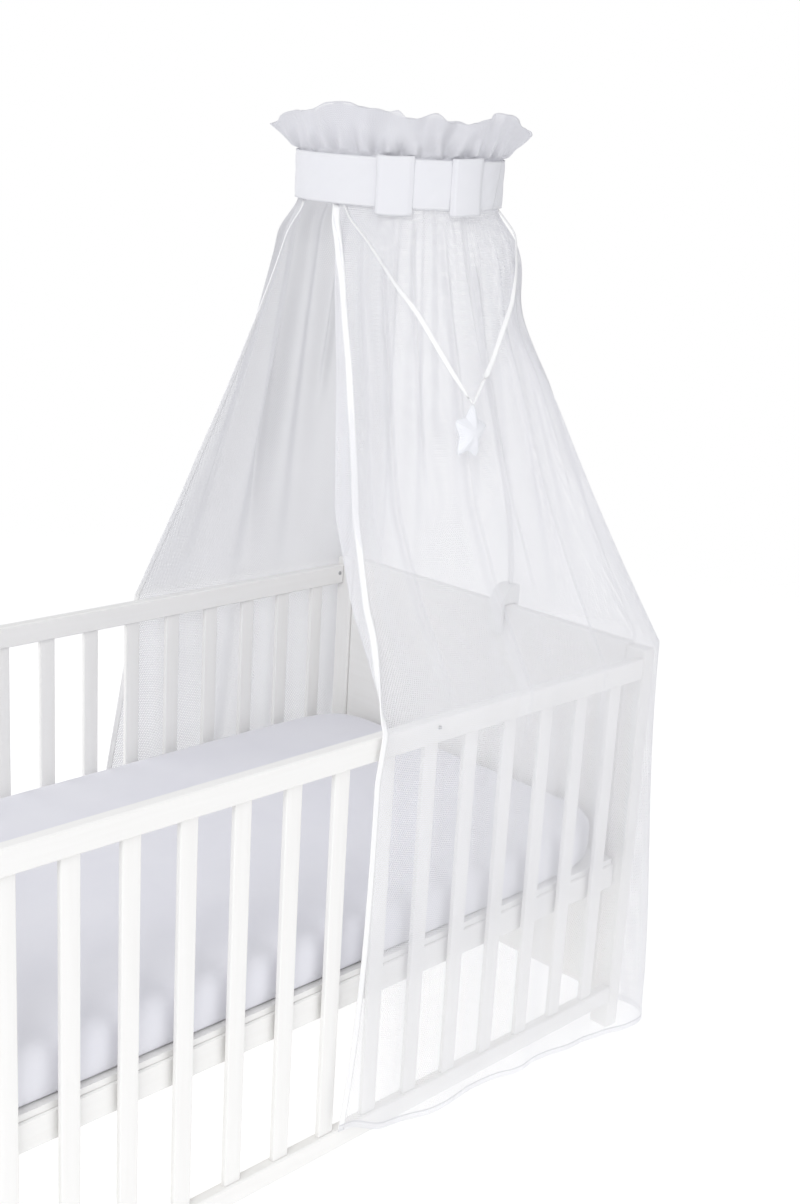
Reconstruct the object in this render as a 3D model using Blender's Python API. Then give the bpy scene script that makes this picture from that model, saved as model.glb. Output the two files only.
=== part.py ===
"""Crib canopy: net skirt, band and frill on a hoop, draped over the head end of a plain crib.

Metres, +Z up. +X points to the head end, +Y to the back side, the floor is z = 0.
"""
import math
import bmesh
import bpy
import numpy as np
from mathutils import Vector

# Crib
HEAD_X = 0.6878          # outer face of the head end
LENGTH = 1.435           # outer length
WIDTH = 0.765            # outer width
RAIL_Z = 0.705           # top of the side rails
RAIL_H = 0.037
RAIL_D = 0.019
LOW_RAIL_TOP = 0.0855
LOW_RAIL_H = 0.0325
POST_X = 0.030
POST_Y = 0.040
END_RISE = 0.018         # head and foot ends stand this much above the rails
PITCH = 0.0888           # slat spacing
SLAT_W = 0.0288
SLAT_D = 0.009
SLATS = 15
FIRST_SLAT = 0.0959      # head end to the first slat's centre
BASE_Z = 0.320           # top of the base rails
BASE_H = 0.044
MATTRESS_Z = 0.3305
MATTRESS_H = 0.090
GAP = 0.0004             # air between touching pieces

# Holder and hoop
HOOP_X = -0.344          # hoop centre, measured from the head end
HOOP_Y = -0.050
HOOP_R = 0.1548
HOOP_WIRE = 0.0045
HOOP_Z = RAIL_Z + 0.7620
HOOP_TILT = math.radians(2.6)
TILT_DIR = math.radians(224.0)   # the side of the hoop that sags lowest
POLE_R = 0.005
POLE_FOOT_X = 0.000
POLE_FOOT_Z = RAIL_Z + 0.0530
POLE_TOP_X = -0.1990

# Band and frill
BAND_R = 0.1598          # inner radius
BAND_T = 0.0018
BAND_LOW = RAIL_Z + 0.7244
BAND_HIGH = RAIL_Z + 0.7951
SEAM = math.radians(-66.0)
LOOP_SPANS = ((math.radians(-147.0), math.radians(-127.5)), (math.radians(-107.0), math.radians(-87.0)))
FRILL_FOOT_R = 0.1570
# Top edge of the frill round the hoop: angle in degrees, height over the band and radius
FRILL = {
    "angle": (-230, -220, -203, -182, -164, -150, -141, -137, -133, -120, -114, -104, -95,
              -86, -76, -60, -50, -34, -14, 8, 28, 40, 58, 78, 98, 112),
    "rise": (.040, .032, .056, .059, .076, .068, .064, .070, .053, .066, .054, .052, .060,
             .069, .070, .048, .038, .057, .057, .048, .053, .050, .062, .069, .055, .053),
    "reach": (.195, .2035, .183, .186, .200, .192, .181, .187, .174, .198, .185, .179, .196,
              .182, .185, .197, .2005, .184, .196, .180, .198, .184, .193, .200, .184, .197),
}

# Star and its ribbons. x is from the head end, z from the rail top
STAR_AT = (-0.4104, -0.2936, 0.4015)
STAR_FACE = (0.1310, -0.9900, 0.0490)
STAR_ROLL = math.radians(8.7)
STAR_R = 0.046
STAR_IN_R = 0.0262
STAR_T = 0.022
RIBBON_W = 0.0075
RIBBON_T = 0.0010
RIBBON_LEFT = {
    "start": math.radians(-164.0),
    "x": (-0.5050, -0.4943, -0.4745, -0.4508, -0.4068),
    "y": (-0.1123, -0.1456, -0.1866, -0.2066, -0.2466),
    "z": (0.6983, 0.6651, 0.6060, 0.5725, 0.4835),
    "twist": (0.0, 1.1, 1.2, 0.1, 0.2, 1.2, 1.3),
}
RIBBON_RIGHT = {
    "start": math.radians(-62.0),
    "x": (-0.2347, -0.2573, -0.2701, -0.3028, -0.3328),
    "y": (-0.2041, -0.2300, -0.2369, -0.2517, -0.2596),
    "z": (0.6853, 0.6329, 0.5835, 0.5491, 0.4991),
    "twist": (0.0, 0.2, 0.3, 0.3, 0.9, 1.2, 1.3),
}

# Net
NET_T = 0.0014
NET_TOP_R = 0.1540
OPEN_BACK = math.radians(160.0)   # the free back edge leaves the hoop here
OPEN_FRONT = math.radians(-169.5)
BACK_END = -0.519        # where the free edges cross the side rails
FRONT_END = -0.660
TAPE_W = 0.010
TAPE_T = 0.0014
TURN_R = 0.004
CORNER_R = 0.006         # extra rounding of the net's path at the head corners
CORNERS = (0.0, 0.262, 0.272, 0.660, 0.670, 1.0)   # path shares of the straights and the two corners

# Heights of the hem along the path, with the outward flare there
HEM = {
    "along": (0.00, 0.10, 0.27, 0.45, 0.665, 0.765, 0.865, 0.93, 0.972, 1.00),
    "height": (0.085, 0.062, 0.045, 0.034, 0.0205, 0.042, 0.057, 0.060, 0.074, 0.105),
    "flare": (0.018, 0.020, 0.026, 0.022, 0.034, 0.024, 0.020, 0.018, 0.016, 0.014),
}
# Front edge: share of the edge turned back, width of that layer, and how far the whole edge leans to the foot end
CURL = {
    "level": (0.00, 0.012, 0.035, 0.075, 0.15, 0.32, 0.60, 0.78, 0.90, 0.985, 1.00, 1.12),
    "turned": (0.00, 0.00, 0.40, 0.95, 1.00, 1.00, 1.00, 0.95, 0.50, 0.05, 0.00, 0.00),
    "back": (0.011, 0.011, 0.011, 0.012, 0.018, 0.021, 0.031, 0.021, 0.012, 0.011, 0.011, 0.011),
    "lean": (0.004, 0.005, -0.008, -0.013, -0.015, -0.006, 0.030, 0.018, 0.004, -0.009, -0.011, 0.000),
}


def smooth(t):
    t = np.clip(t, 0.0, 1.0)
    return t * t * (3.0 - 2.0 * t)


def bump(x, centre, width):
    return np.exp(-((x - centre) / width) ** 2)


def tilt(p):
    """Tilts points about the hoop's centre so that its near side sags."""
    p = np.asarray(p, float)
    rel = p - np.array([HEAD_X + HOOP_X, HOOP_Y, HOOP_Z])
    low = np.array([math.cos(TILT_DIR), math.sin(TILT_DIR), 0.0])
    along = rel @ low
    out = p.copy()
    out[..., 2] -= along * math.sin(HOOP_TILT)
    out += np.multiply.outer(rel[..., 2] * math.sin(HOOP_TILT), low)
    return out


def wrap(u, out, back_end, front_end):
    """Rounded outline round the head end, out metres outside it, with its outward normal."""
    rc = CORNER_R + out
    yo = WIDTH / 2 + out
    k = min(int(np.searchsorted(CORNERS, u, side="right")) - 1, 4)
    t = (u - CORNERS[k]) / (CORNERS[k + 1] - CORNERS[k])
    if k in (1, 3):
        g = t * math.pi / 2
        n = np.array([math.sin(g), math.cos(g)]) if k == 1 else np.array([math.cos(g), -math.sin(g)])
        centre = np.array([out - rc, (yo - rc) if k == 1 else (rc - yo)])
        return centre + rc * n, n
    if k == 0:
        return np.array([back_end + t * (out - rc - back_end), yo]), np.array([0.0, 1.0])
    if k == 2:
        y = (yo - rc) * (1.0 - 2.0 * t)
        return np.array([out + 0.026 * bump(y, HOOP_Y, 0.10), y]), np.array([1.0, 0.0])
    return np.array([out - rc + t * (front_end - out + rc), -yo]), np.array([0.0, -1.0])


def pleats(u, level):
    """Uneven soft folds, 0 to 1, running down the net."""
    a = 2 * math.pi * (16.0 * u + 0.30 * math.sin(11.0 * u + 0.6) + 0.16 * math.sin(29.0 * u + 2.0))
    b = 2 * math.pi * (7.3 * u + 0.25 * math.sin(8.0 * u) + 0.1 * level)
    f = 0.5 + 0.36 * math.sin(a + 0.5 * math.sin(2.4 * level + 5 * u)) + 0.14 * math.sin(b)
    return f * f * (1.6 - 0.6 * f)


def fold_depth(u, level):
    """Fold depth from the band (level 0) over the rail (level 1) to the hem (level 2)."""
    depth = np.interp(level, (0.0, 0.02, 0.06, 0.3, 0.6, 0.9, 1.0, 1.1, 1.5, 2.0),
                      (0.0012, 0.0028, 0.010, 0.016, 0.017, 0.009, 0.004, 0.007, 0.012, 0.016))
    return depth * (0.75 + 0.35 * math.sin(5.0 * u + 1.0))


def net_point(u, level):
    """Middle surface of the net at path share u, with its outward normal in plan."""
    drop = max(level - 1.0, 0.0)
    out = 0.007 + np.interp(u, HEM["along"], HEM["flare"]) * smooth(drop / 0.9) * (0.6 + 0.4 * drop)
    back_end = BACK_END - 0.085 * drop
    shift = edge_shift(level)
    front_end = FRONT_END - 0.050 * drop * drop - shift
    rail, normal = wrap(u, out, back_end, front_end)
    phi = np.interp(u, (0.0, 0.267, 0.665, 1.0), (OPEN_BACK, math.radians(53), math.radians(-52), OPEN_FRONT))
    phi -= max(u - 0.665, 0.0) / 0.335 * edge_shift(min(level, 1.0)) / 0.16 * (1.0 - min(level, 1.0))
    radial = np.array([math.cos(phi), math.sin(phi)])
    s = min(level, 1.0)
    straight = bump(phi, 0.0, 0.42)
    w = (1.0 - straight) * s ** 1.27 + straight * s ** 0.8
    w -= 0.075 * bump(s, 0.25, 0.11) * bump(phi, math.radians(-50), 0.42)
    ring = np.array([HOOP_X, HOOP_Y]) + NET_TOP_R * radial
    swell = 0.009 * smooth((s - 0.015) / 0.08) + 0.010 * bump(s, 0.13, 0.07) * bump(phi, math.radians(-48), 0.5)
    ring = ring + radial * swell
    p = ring * (1.0 - w) + rail * w
    n = radial * (1.0 - w) + normal * w
    n /= np.linalg.norm(n)
    p = p + n * fold_depth(u, level) * pleats(u, level)
    head = smooth((n[0] - 0.25) / 0.5)
    top = BAND_LOW + 0.006
    cross = RAIL_Z + 0.006 + 0.021 * head
    if level <= 1.0:
        z = top + (cross - top) * s
    else:
        z = cross + (np.interp(u, HEM["along"], HEM["height"]) - cross) * drop
    q = np.array([HEAD_X + p[0], p[1], z])
    return q, n


def edge_shift(level):
    """Along-path offset of the last full column from the tape's line."""
    turned = np.interp(level, CURL["level"], CURL["turned"])
    back = np.interp(level, CURL["level"], CURL["back"])
    turn = math.pi * TURN_R
    lean = np.interp(level, CURL["level"], CURL["lean"])
    return lean + turned * (back - TAPE_W / 2) - (1.0 - turned) * (turn + back - TAPE_W / 2)


def edge_columns(level, base, along, normal):
    """Columns past the last full one: the turned-back layer with the tape's strip at its end."""
    turned = np.interp(level, CURL["level"], CURL["turned"])
    back = np.interp(level, CURL["level"], CURL["back"])
    turn = math.pi * TURN_R
    steps = [turn / 4] * 4 + [back - TAPE_W, TAPE_W / 2, TAPE_W / 2]
    angle = 0.0
    pos = base.copy()
    cols = []
    for k, step in enumerate(steps):
        if k < 4:
            angle += math.pi * turned / 4
            mid = angle - math.pi * turned / 8
        else:
            mid = math.pi * turned
        pos = pos + max(step, 0.0004) * (math.cos(mid) * along + math.sin(mid) * normal)
        cols.append(pos.copy())
    return cols


LEVELS = (0.0, 0.012, 0.035, 0.075, 0.13, 0.20, 0.29, 0.39, 0.50, 0.61, 0.72, 0.82, 0.91, 0.97, 1.0,
          1.04, 1.12, 1.27, 1.45, 1.64, 1.82, 1.95, 1.985, 2.0)
COLUMNS = 84


def net_grid():
    rows = []
    us = np.linspace(0.0, 1.0, COLUMNS + 1)
    bends = [CORNERS[k] + (CORNERS[k + 1] - CORNERS[k]) * t for k in (1, 3) for t in (0.0, 0.25, 0.5, 0.75, 1.0)]
    us = np.array([u for u in us if min(abs(u - v) for v in bends) > 0.002] + bends)
    us.sort()
    for level in LEVELS:
        pts = [net_point(u, level)[0] for u in us]
        base, normal = net_point(1.0, level)
        before = pts[-2]
        along = base - before
        along[2] = 0.0
        along /= np.linalg.norm(along)
        side = np.array([normal[0], normal[1], 0.0])
        side -= along * (side @ along)
        side /= np.linalg.norm(side)
        pts += edge_columns(level, base, along, side)
        row = np.array(pts)
        if level < 1.0:
            row = row * level + tilt(row) * (1.0 - level)
        rows.append(row)
    return np.array(rows)


def grid_normals(g, closed=False):
    if closed:
        du = np.roll(g, -1, axis=1) - np.roll(g, 1, axis=1)
    else:
        du = np.gradient(g, axis=1)
    dv = np.gradient(g, axis=0)
    n = np.cross(du, dv)
    return n / np.linalg.norm(n, axis=2, keepdims=True)


def sheet_mesh(name, g, thick, closed=False, lift=0.0):
    """Closed solid of a grid of rows and columns, thick metres through, lifted along its normals."""
    n = grid_normals(g, closed)
    t = np.broadcast_to(np.asarray(thick, float), g.shape[:2])[..., None]
    layers = [g + n * (lift + t / 2), g + n * (lift - t / 2)]
    rows, cols = g.shape[:2]
    verts = [tuple(v) for layer in layers for v in layer.reshape(-1, 3)]
    size = rows * cols

    def vid(k, r, c):
        return k * size + r * cols + c % cols

    faces = []
    last = cols if closed else cols - 1
    for r in range(rows - 1):
        for c in range(last):
            for k in (0, 1):
                a, b = vid(k, r, c), vid(k, r, c + 1)
                d, e = vid(k, r + 1, c), vid(k, r + 1, c + 1)
                tri = [(a, b, e), (a, e, d)]
                faces += tri if k == 0 else [x[::-1] for x in tri]
    for c in range(last):
        for r, flip in ((0, False), (rows - 1, True)):
            a, b = vid(0, r, c), vid(0, r, c + 1)
            d, e = vid(1, r, c), vid(1, r, c + 1)
            tri = [(a, d, e), (a, e, b)]
            faces += [x[::-1] for x in tri] if flip else tri
    if not closed:
        for r in range(rows - 1):
            for c, flip in ((0, True), (cols - 1, False)):
                a, b = vid(0, r, c), vid(0, r + 1, c)
                d, e = vid(1, r, c), vid(1, r + 1, c)
                tri = [(a, d, e), (a, e, b)]
                faces += [x[::-1] for x in tri] if flip else tri
    return mesh_object(name, verts, faces)


def mesh_object(name, verts, faces):
    mesh = bpy.data.meshes.new(name)
    mesh.from_pydata(verts, [], faces)
    bm = bmesh.new()
    bm.from_mesh(mesh)
    bmesh.ops.recalc_face_normals(bm, faces=bm.faces)
    if bm.calc_volume(signed=True) < 0:
        bmesh.ops.reverse_faces(bm, faces=bm.faces)
    bm.to_mesh(mesh)
    bm.free()
    obj = bpy.data.objects.new(name, mesh)
    bpy.context.scene.collection.objects.link(obj)
    return obj


def material(name, colour, rough):
    mat = bpy.data.materials.new(name)
    mat.use_nodes = True
    shader = mat.node_tree.nodes["Principled BSDF"]
    shader.inputs["Base Color"].default_value = (*colour, 1.0)
    shader.inputs["Roughness"].default_value = rough
    return mat


def paint(obj, colour, rough=0.6):
    obj.data.materials.append(material(obj.name, colour, rough))
    return obj


WHITE_PAINT = (0.86, 0.86, 0.85)
WHITE_CLOTH = (0.90, 0.90, 0.91)


def box(name, x0, x1, y0, y1, z0, z1, bevel=0.0, colour=WHITE_PAINT):
    """Plain block. x is measured from the head end's outer face."""
    xs = (HEAD_X + x0, HEAD_X + x1)
    verts = [(x, y, z) for x in xs for y in (y0, y1) for z in (z0, z1)]
    faces = [(0, 1, 3, 2), (4, 6, 7, 5), (0, 4, 5, 1), (2, 3, 7, 6), (0, 2, 6, 4), (1, 5, 7, 3)]
    obj = mesh_object(name, verts, faces)
    if bevel:
        mod = obj.modifiers.new("edges", "BEVEL")
        mod.width = bevel
        mod.segments = 1
        mod.limit_method = "ANGLE"
    return paint(obj, colour)


def tube(name, points, radius, closed=False, sides=12, colour=WHITE_PAINT):
    pts = [np.asarray(p, float) for p in points]
    count = len(pts)
    verts = []
    up = None
    for i, p in enumerate(pts):
        if closed:
            d = pts[(i + 1) % count] - pts[i - 1]
        else:
            d = pts[min(i + 1, count - 1)] - pts[max(i - 1, 0)]
        d /= np.linalg.norm(d)
        if up is None:
            up = np.array([0.0, 1.0, 0.0]) if abs(d[2]) > 0.7 else np.array([0.0, 0.0, 1.0])
        side = np.cross(d, up)
        side /= np.linalg.norm(side)
        top = np.cross(side, d)
        up = top
        for k in range(sides):
            a = 2 * math.pi * k / sides
            verts.append(tuple(p + radius * (math.cos(a) * side + math.sin(a) * top)))
    faces = []
    for i in range(count if closed else count - 1):
        j = (i + 1) % count
        for k in range(sides):
            m = (k + 1) % sides
            faces.append((i * sides + k, i * sides + m, j * sides + m, j * sides + k))
    if not closed:
        faces.append(tuple(range(sides))[::-1])
        faces.append(tuple((count - 1) * sides + k for k in range(sides)))
    obj = mesh_object(name, verts, faces)
    for poly in obj.data.polygons:
        poly.use_smooth = True
    return paint(obj, colour)


def slat_x(k):
    return -(FIRST_SLAT + (k - 1) * PITCH)


def crib():
    half = WIDTH / 2
    low = LOW_RAIL_TOP
    for side, tag in ((-1, "front"), (1, "back")):
        outer = side * half
        inner = side * (half - RAIL_D)
        y0, y1 = min(outer, inner), max(outer, inner)
        x0, x1 = -LENGTH + POST_X + GAP, -POST_X - GAP
        box(f"rail_{tag}_top", x0, x1, y0, y1, RAIL_Z - RAIL_H, RAIL_Z, 0.002)
        box(f"rail_{tag}_low", x0, x1, y0, y1, low - LOW_RAIL_H, low, 0.002)
        mid = side * (half - RAIL_D / 2)
        for k in range(1, SLATS + 1):
            x = slat_x(k)
            box(f"slat_{tag}_{k:02d}", x - SLAT_W / 2, x + SLAT_W / 2, mid - SLAT_D / 2, mid + SLAT_D / 2,
                low + GAP, RAIL_Z - RAIL_H - GAP)
        face = half - RAIL_D - GAP
        b0, b1 = sorted((side * face, side * (face - 0.020)))
        box(f"base_rail_{tag}", -LENGTH + POST_X + GAP, -POST_X - GAP, b0, b1, BASE_Z - BASE_H, BASE_Z, 0.002)
        p0, p1 = sorted((side * half, side * (half - POST_Y)))
        for end, e0, e1 in (("head", -POST_X, 0.0), ("foot", -LENGTH, -LENGTH + POST_X)):
            box(f"post_{end}_{tag}", e0, e1, p0, p1, 0.0, RAIL_Z + END_RISE - 0.004, 0.003)
    inner = half - POST_Y - GAP
    for end, e0, e1 in (("head", -0.026, -0.004), ("foot", -LENGTH + 0.004, -LENGTH + 0.026)):
        box(f"{end}_panel", e0, e1, -inner, inner, 0.060, RAIL_Z + END_RISE, 0.003)
    box("base_board", -LENGTH + POST_X + 0.004, -POST_X - 0.004, -half + RAIL_D + 0.004, half - RAIL_D - 0.004,
        BASE_Z + GAP, MATTRESS_Z - GAP)


def mattress():
    """Filled block with a crowned top, rounded ends and drawn-in sides."""
    x0, x1 = -LENGTH + POST_X + 0.008, -POST_X - 0.008
    y0 = -WIDTH / 2 + RAIL_D + 0.008
    cx, cy = (x0 + x1) / 2, 0.0
    hx, hy = (x1 - x0) / 2, -y0
    rows = []
    for z, inset in ((0.0, 0.010), (0.012, 0.002), (0.045, 0.0), (0.070, 0.003), (0.083, 0.013)):
        ring = []
        for k in range(56):
            a = 2 * math.pi * (k + 0.5) / 56
            ca, sa = math.cos(a), math.sin(a)
            r = (abs(ca) ** 12 + abs(sa) ** 12) ** (-1 / 12)
            px, py = r * ca * (hx - inset), r * sa * (hy - inset)
            ring.append((HEAD_X + cx + px, cy + py, MATTRESS_Z + z))
        rows.append(ring)
    verts = [v for ring in rows for v in ring]
    faces = []
    for r in range(len(rows) - 1):
        for k in range(56):
            m = (k + 1) % 56
            faces.append((r * 56 + k, r * 56 + m, (r + 1) * 56 + m, (r + 1) * 56 + k))
    faces.append(tuple(range(56))[::-1])
    top = len(verts)
    for k in range(56):
        v = Vector(verts[(len(rows) - 1) * 56 + k])
        verts.append((HEAD_X + cx + (v.x - HEAD_X - cx) * 0.8, v.y * 0.72, MATTRESS_Z + MATTRESS_H))
    for k in range(56):
        m = (k + 1) % 56
        faces.append(((len(rows) - 1) * 56 + k, (len(rows) - 1) * 56 + m, top + m, top + k))
    faces.append(tuple(top + k for k in range(56)))
    obj = mesh_object("mattress", verts, faces)
    for poly in obj.data.polygons:
        poly.use_smooth = len(poly.vertices) == 4
    paint(obj, (0.84, 0.84, 0.88), 0.85)


def pole_points(count=15):
    top = HOOP_Z + 0.008
    pts = []
    for t in np.linspace(0.0, 1.0, count):
        x = POLE_FOOT_X + (POLE_TOP_X - POLE_FOOT_X) * (1.0 - (1.0 - t ** 1.7) ** 1.8)
        pts.append((HEAD_X + x, HOOP_Y, POLE_FOOT_Z + (top - POLE_FOOT_Z) * t))
    return pts


def holder():
    top = RAIL_Z + END_RISE
    y0, y1 = HOOP_Y - 0.016, HOOP_Y + 0.016
    profile = [(-0.038, -0.052), (-0.0306, -0.052), (-0.0306, 0.0006), (0.0006, 0.0006), (0.0006, -0.030),
               (0.0080, -0.030), (0.0080, 0.034)]
    for k in range(6):
        a = math.pi / 2 * k / 5
        profile.append((-0.006 - 0.032 * math.sin(a), -0.010 + 0.044 * math.cos(a)))
    verts = [(HEAD_X + x, y, top + z) for y in (y0, y1) for x, z in profile]
    n = len(profile)
    faces = [tuple(range(n)), tuple(range(2 * n - 1, n - 1, -1))]
    faces += [(k, k + n, (k + 1) % n + n, (k + 1) % n) for k in range(n)]
    paint(mesh_object("holder_clamp", verts, faces), WHITE_PAINT, 0.4)
    tube("holder_pole", pole_points(), POLE_R, colour=(0.84, 0.84, 0.84))
    ring = []
    for k in range(48):
        a = 2 * math.pi * k / 48
        ring.append((HEAD_X + HOOP_X + HOOP_R * math.cos(a), HOOP_Y + HOOP_R * math.sin(a), HOOP_Z))
    tube("holder_hoop", tilt(ring), HOOP_WIRE, closed=True, sides=8, colour=(0.84, 0.84, 0.84))


def ring_grid(angles, rows):
    """Rows of (radius function, height function) swept round the hoop's axis."""
    g = []
    for radius, height in rows:
        g.append([(HEAD_X + HOOP_X + radius(a) * math.cos(a), HOOP_Y + radius(a) * math.sin(a), height(a))
                  for a in angles])
    return tilt(np.array(g))


def band():
    start = SEAM - math.radians(14)
    angles = np.linspace(start + 2 * math.pi + math.radians(14), start, 76)

    def radius(a):
        lap = smooth((a - start - 2 * math.pi + math.radians(24)) / math.radians(22))
        swell = 0.0008 * math.sin(3 * a) + 0.0005 * math.sin(7 * a + 1)
        return BAND_R + BAND_T / 2 + 0.0009 + swell * (1 - lap) + (BAND_T + 0.0006 + 0.0009) * lap

    rows = []
    for k in range(4):
        share = k / 3
        rows.append((radius, lambda a, s=share: BAND_HIGH + (BAND_LOW - BAND_HIGH) * s))
    paint(sheet_mesh("band", ring_grid(angles, rows), BAND_T), WHITE_CLOTH, 0.85)
    for k, (a0, a1) in enumerate(LOOP_SPANS, start=1):
        spans = np.linspace(a1, a0, 13)

        def radius_loop(a, a0=a0, a1=a1):
            t = (a - a0) / (a1 - a0)
            proud = 0.0065 * smooth(t / 0.10) * (1.0 - 0.55 * t) * smooth((1 - t) / 0.16)
            return radius(a + 2 * math.pi) + BAND_T / 2 + 0.0012 + proud

        top = BAND_HIGH + 0.004
        bottom = BAND_LOW - 0.012 + 0.002 * k
        rows = [(radius_loop, lambda a, s=s: top + (bottom - top) * s) for s in (0.0, 0.5, 1.0)]
        paint(sheet_mesh(f"band_loop_{k}", ring_grid(spans, rows), 0.0016), WHITE_CLOTH, 0.85)


def around(a, column):
    """Value of the frill's table at angle a, in radians."""
    return float(np.interp(math.degrees(a), FRILL["angle"], FRILL[column], period=360))


def frill():
    """Gathered frill: tight pleats at its foot inside the band, uneven lobes along its top edge."""
    angles = np.linspace(2 * math.pi, 0.0, 120, endpoint=False)
    rows = []
    for share in (1.0, 0.75, 0.48, 0.22, 0.0, -1.0):
        def radius(a, s=share):
            gather = 0.0009 if s < 0.1 else 0.0016 * (1.0 - 0.8 * s)
            fine = gather * math.sin(30 * a + 0.6 * math.sin(4 * a))
            return FRILL_FOOT_R + fine + (around(a, "reach") - FRILL_FOOT_R) * max(s, 0.0) ** 0.9

        def height(a, s=share):
            return BAND_HIGH + (-0.007 if s < 0.0 else 0.0012 + (around(a, "rise") - 0.0012) * s)

        rows.append((radius, height))
    g = ring_grid(angles, rows)
    paint(sheet_mesh("frill", g, 0.0014, closed=True), WHITE_CLOTH, 0.9)


def net():
    g = net_grid()
    thick = np.full(g.shape[:2], NET_T)
    thick[-3:, :] = NET_T + 0.0006
    obj = sheet_mesh("net", g, thick)
    paint(obj, (0.90, 0.90, 0.92), 0.9)
    lift = NET_T / 2 + 0.0006 + TAPE_T / 2 + 0.0003
    paint(sheet_mesh("tape_front", g[1:, -3:], TAPE_T, lift=lift), WHITE_CLOTH, 0.85)
    first = net_edge_strip(g)
    paint(sheet_mesh("tape_back", first, TAPE_T, lift=lift), WHITE_CLOTH, 0.85)


def net_edge_strip(g):
    """First column of the net and a point TAPE_W in from it on the same facet row."""
    a = g[1:, 0]
    b = g[1:, 1]
    share = TAPE_W / np.linalg.norm(b - a, axis=1)
    return np.stack([a, a + (b - a) * np.minimum(share, 0.9)[:, None]], axis=1)


def star_axes():
    face = np.array(STAR_FACE) / np.linalg.norm(STAR_FACE)
    up = np.array([0.0, 0.0, 1.0]) - face[2] * face
    up /= np.linalg.norm(up)
    side = np.cross(up, face)
    roll, level = math.sin(STAR_ROLL), math.cos(STAR_ROLL)
    return side * level - up * roll, up * level + side * roll, face


def star():
    """Stuffed five-pointed star: crowned both ways, drawn in to a seam round its edge."""
    right, up, face = star_axes()
    centre = np.array([HEAD_X + STAR_AT[0], STAR_AT[1], RAIL_Z + STAR_AT[2]])
    outline = []
    for k in range(30):
        a = 2 * math.pi * k / 30
        d = abs((a / (2 * math.pi / 5) + 0.5) % 1.0 - 0.5) * 2.0
        reach = STAR_R * math.sin(math.pi / 5 * d) + STAR_IN_R * math.sin(math.pi / 5 * (1.0 - d))
        edge = STAR_R * STAR_IN_R * math.sin(math.pi / 5) / reach
        outline.append((a, edge - 0.004 * bump(d, 0.0, 0.14), d))
    rings = ((1.0, 0.04), (0.90, 0.40), (0.70, 0.72), (0.40, 0.94))
    verts = []
    for sign in (1, -1):
        for scale, height in rings:
            for a, r, d in outline:
                flat = right * math.sin(a) * r * scale + up * math.cos(a) * r * scale
                full = height * (1.0 - 0.45 * (1.0 - d) * scale ** 2)
                verts.append(tuple(centre + flat + face * sign * STAR_T / 2 * full))
    top = len(verts)
    verts += [tuple(centre + face * STAR_T / 2), tuple(centre - face * STAR_T / 2)]
    faces = []
    for k in range(30):
        m = (k + 1) % 30
        for side in (0, 120):
            for ring in range(3):
                a, b = side + ring * 30 + k, side + ring * 30 + m
                faces.append((a, b, b + 30, a + 30))
            faces.append((side + 90 + k, side + 90 + m, top + (side > 0)))
        faces.append((k, m, 120 + m, 120 + k))
    obj = mesh_object("star", verts, faces)
    for poly in obj.data.polygons:
        poly.use_smooth = True
    paint(obj, WHITE_CLOTH, 0.85)


def ribbon(name, route):
    """Flat tape from the band's lower edge to the star's top point, turning on itself."""
    a = route["start"]
    r = BAND_R + 0.0018
    first = tilt((HEAD_X + HOOP_X + r * math.cos(a), HOOP_Y + r * math.sin(a), BAND_LOW - 0.0027))
    right, up, face = star_axes()
    centre = np.array([HEAD_X + STAR_AT[0], STAR_AT[1], RAIL_Z + STAR_AT[2]])
    side = -1.0 if name.endswith("left") else 1.0
    last = centre + up * (STAR_R - 0.0036) + right * side * 0.0008
    pts = [first] + [np.array([HEAD_X + x, y, RAIL_Z + z]) for x, y, z in zip(route["x"], route["y"], route["z"])]
    pts = np.array(pts + [last])
    share = np.arange(len(pts))
    fine = np.linspace(0, len(pts) - 1, 25)
    path = np.stack([np.interp(fine, share, pts[:, k]) for k in range(3)], axis=1)
    for _ in range(2):
        path[1:-1] = 0.25 * path[:-2] + 0.5 * path[1:-1] + 0.25 * path[2:]
    twist = np.interp(fine, share, route["twist"])
    axis = np.array([HEAD_X + HOOP_X, HOOP_Y])
    rows = []
    for k, p in enumerate(path):
        along = path[min(k + 1, 24)] - path[max(k - 1, 0)]
        along /= np.linalg.norm(along)
        out = np.append(p[:2] - axis, 0.0)
        out -= along * (out @ along)
        out /= np.linalg.norm(out)
        flat = np.cross(along, out)
        across = flat * math.cos(twist[k]) + out * math.sin(twist[k])
        meet = smooth((k - 17) / 7)
        across = across * (1.0 - meet) + face * meet * math.copysign(1.0, across @ face)
        across /= np.linalg.norm(across)
        rows.append([p - across * RIBBON_W / 2, p + across * RIBBON_W / 2])
    paint(sheet_mesh(name, np.array(rows), RIBBON_T), WHITE_CLOTH, 0.7)


def clear():
    for obj in list(bpy.data.objects):
        bpy.data.objects.remove(obj, do_unlink=True)


clear()
crib()
mattress()
holder()
band()
frill()
net()
star()
ribbon("ribbon_left", RIBBON_LEFT)
ribbon("ribbon_right", RIBBON_RIGHT)
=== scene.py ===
"""Looks of the crib canopy: fine net, frill, band, star and ribbons over the plain crib.

Metres, +Z up, in the part's own frame: +X to the head end, the floor is z = 0.
"""
import math
from functools import partial
import bmesh
import bpy
import numpy as np
from mathutils import Matrix, Vector


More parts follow.
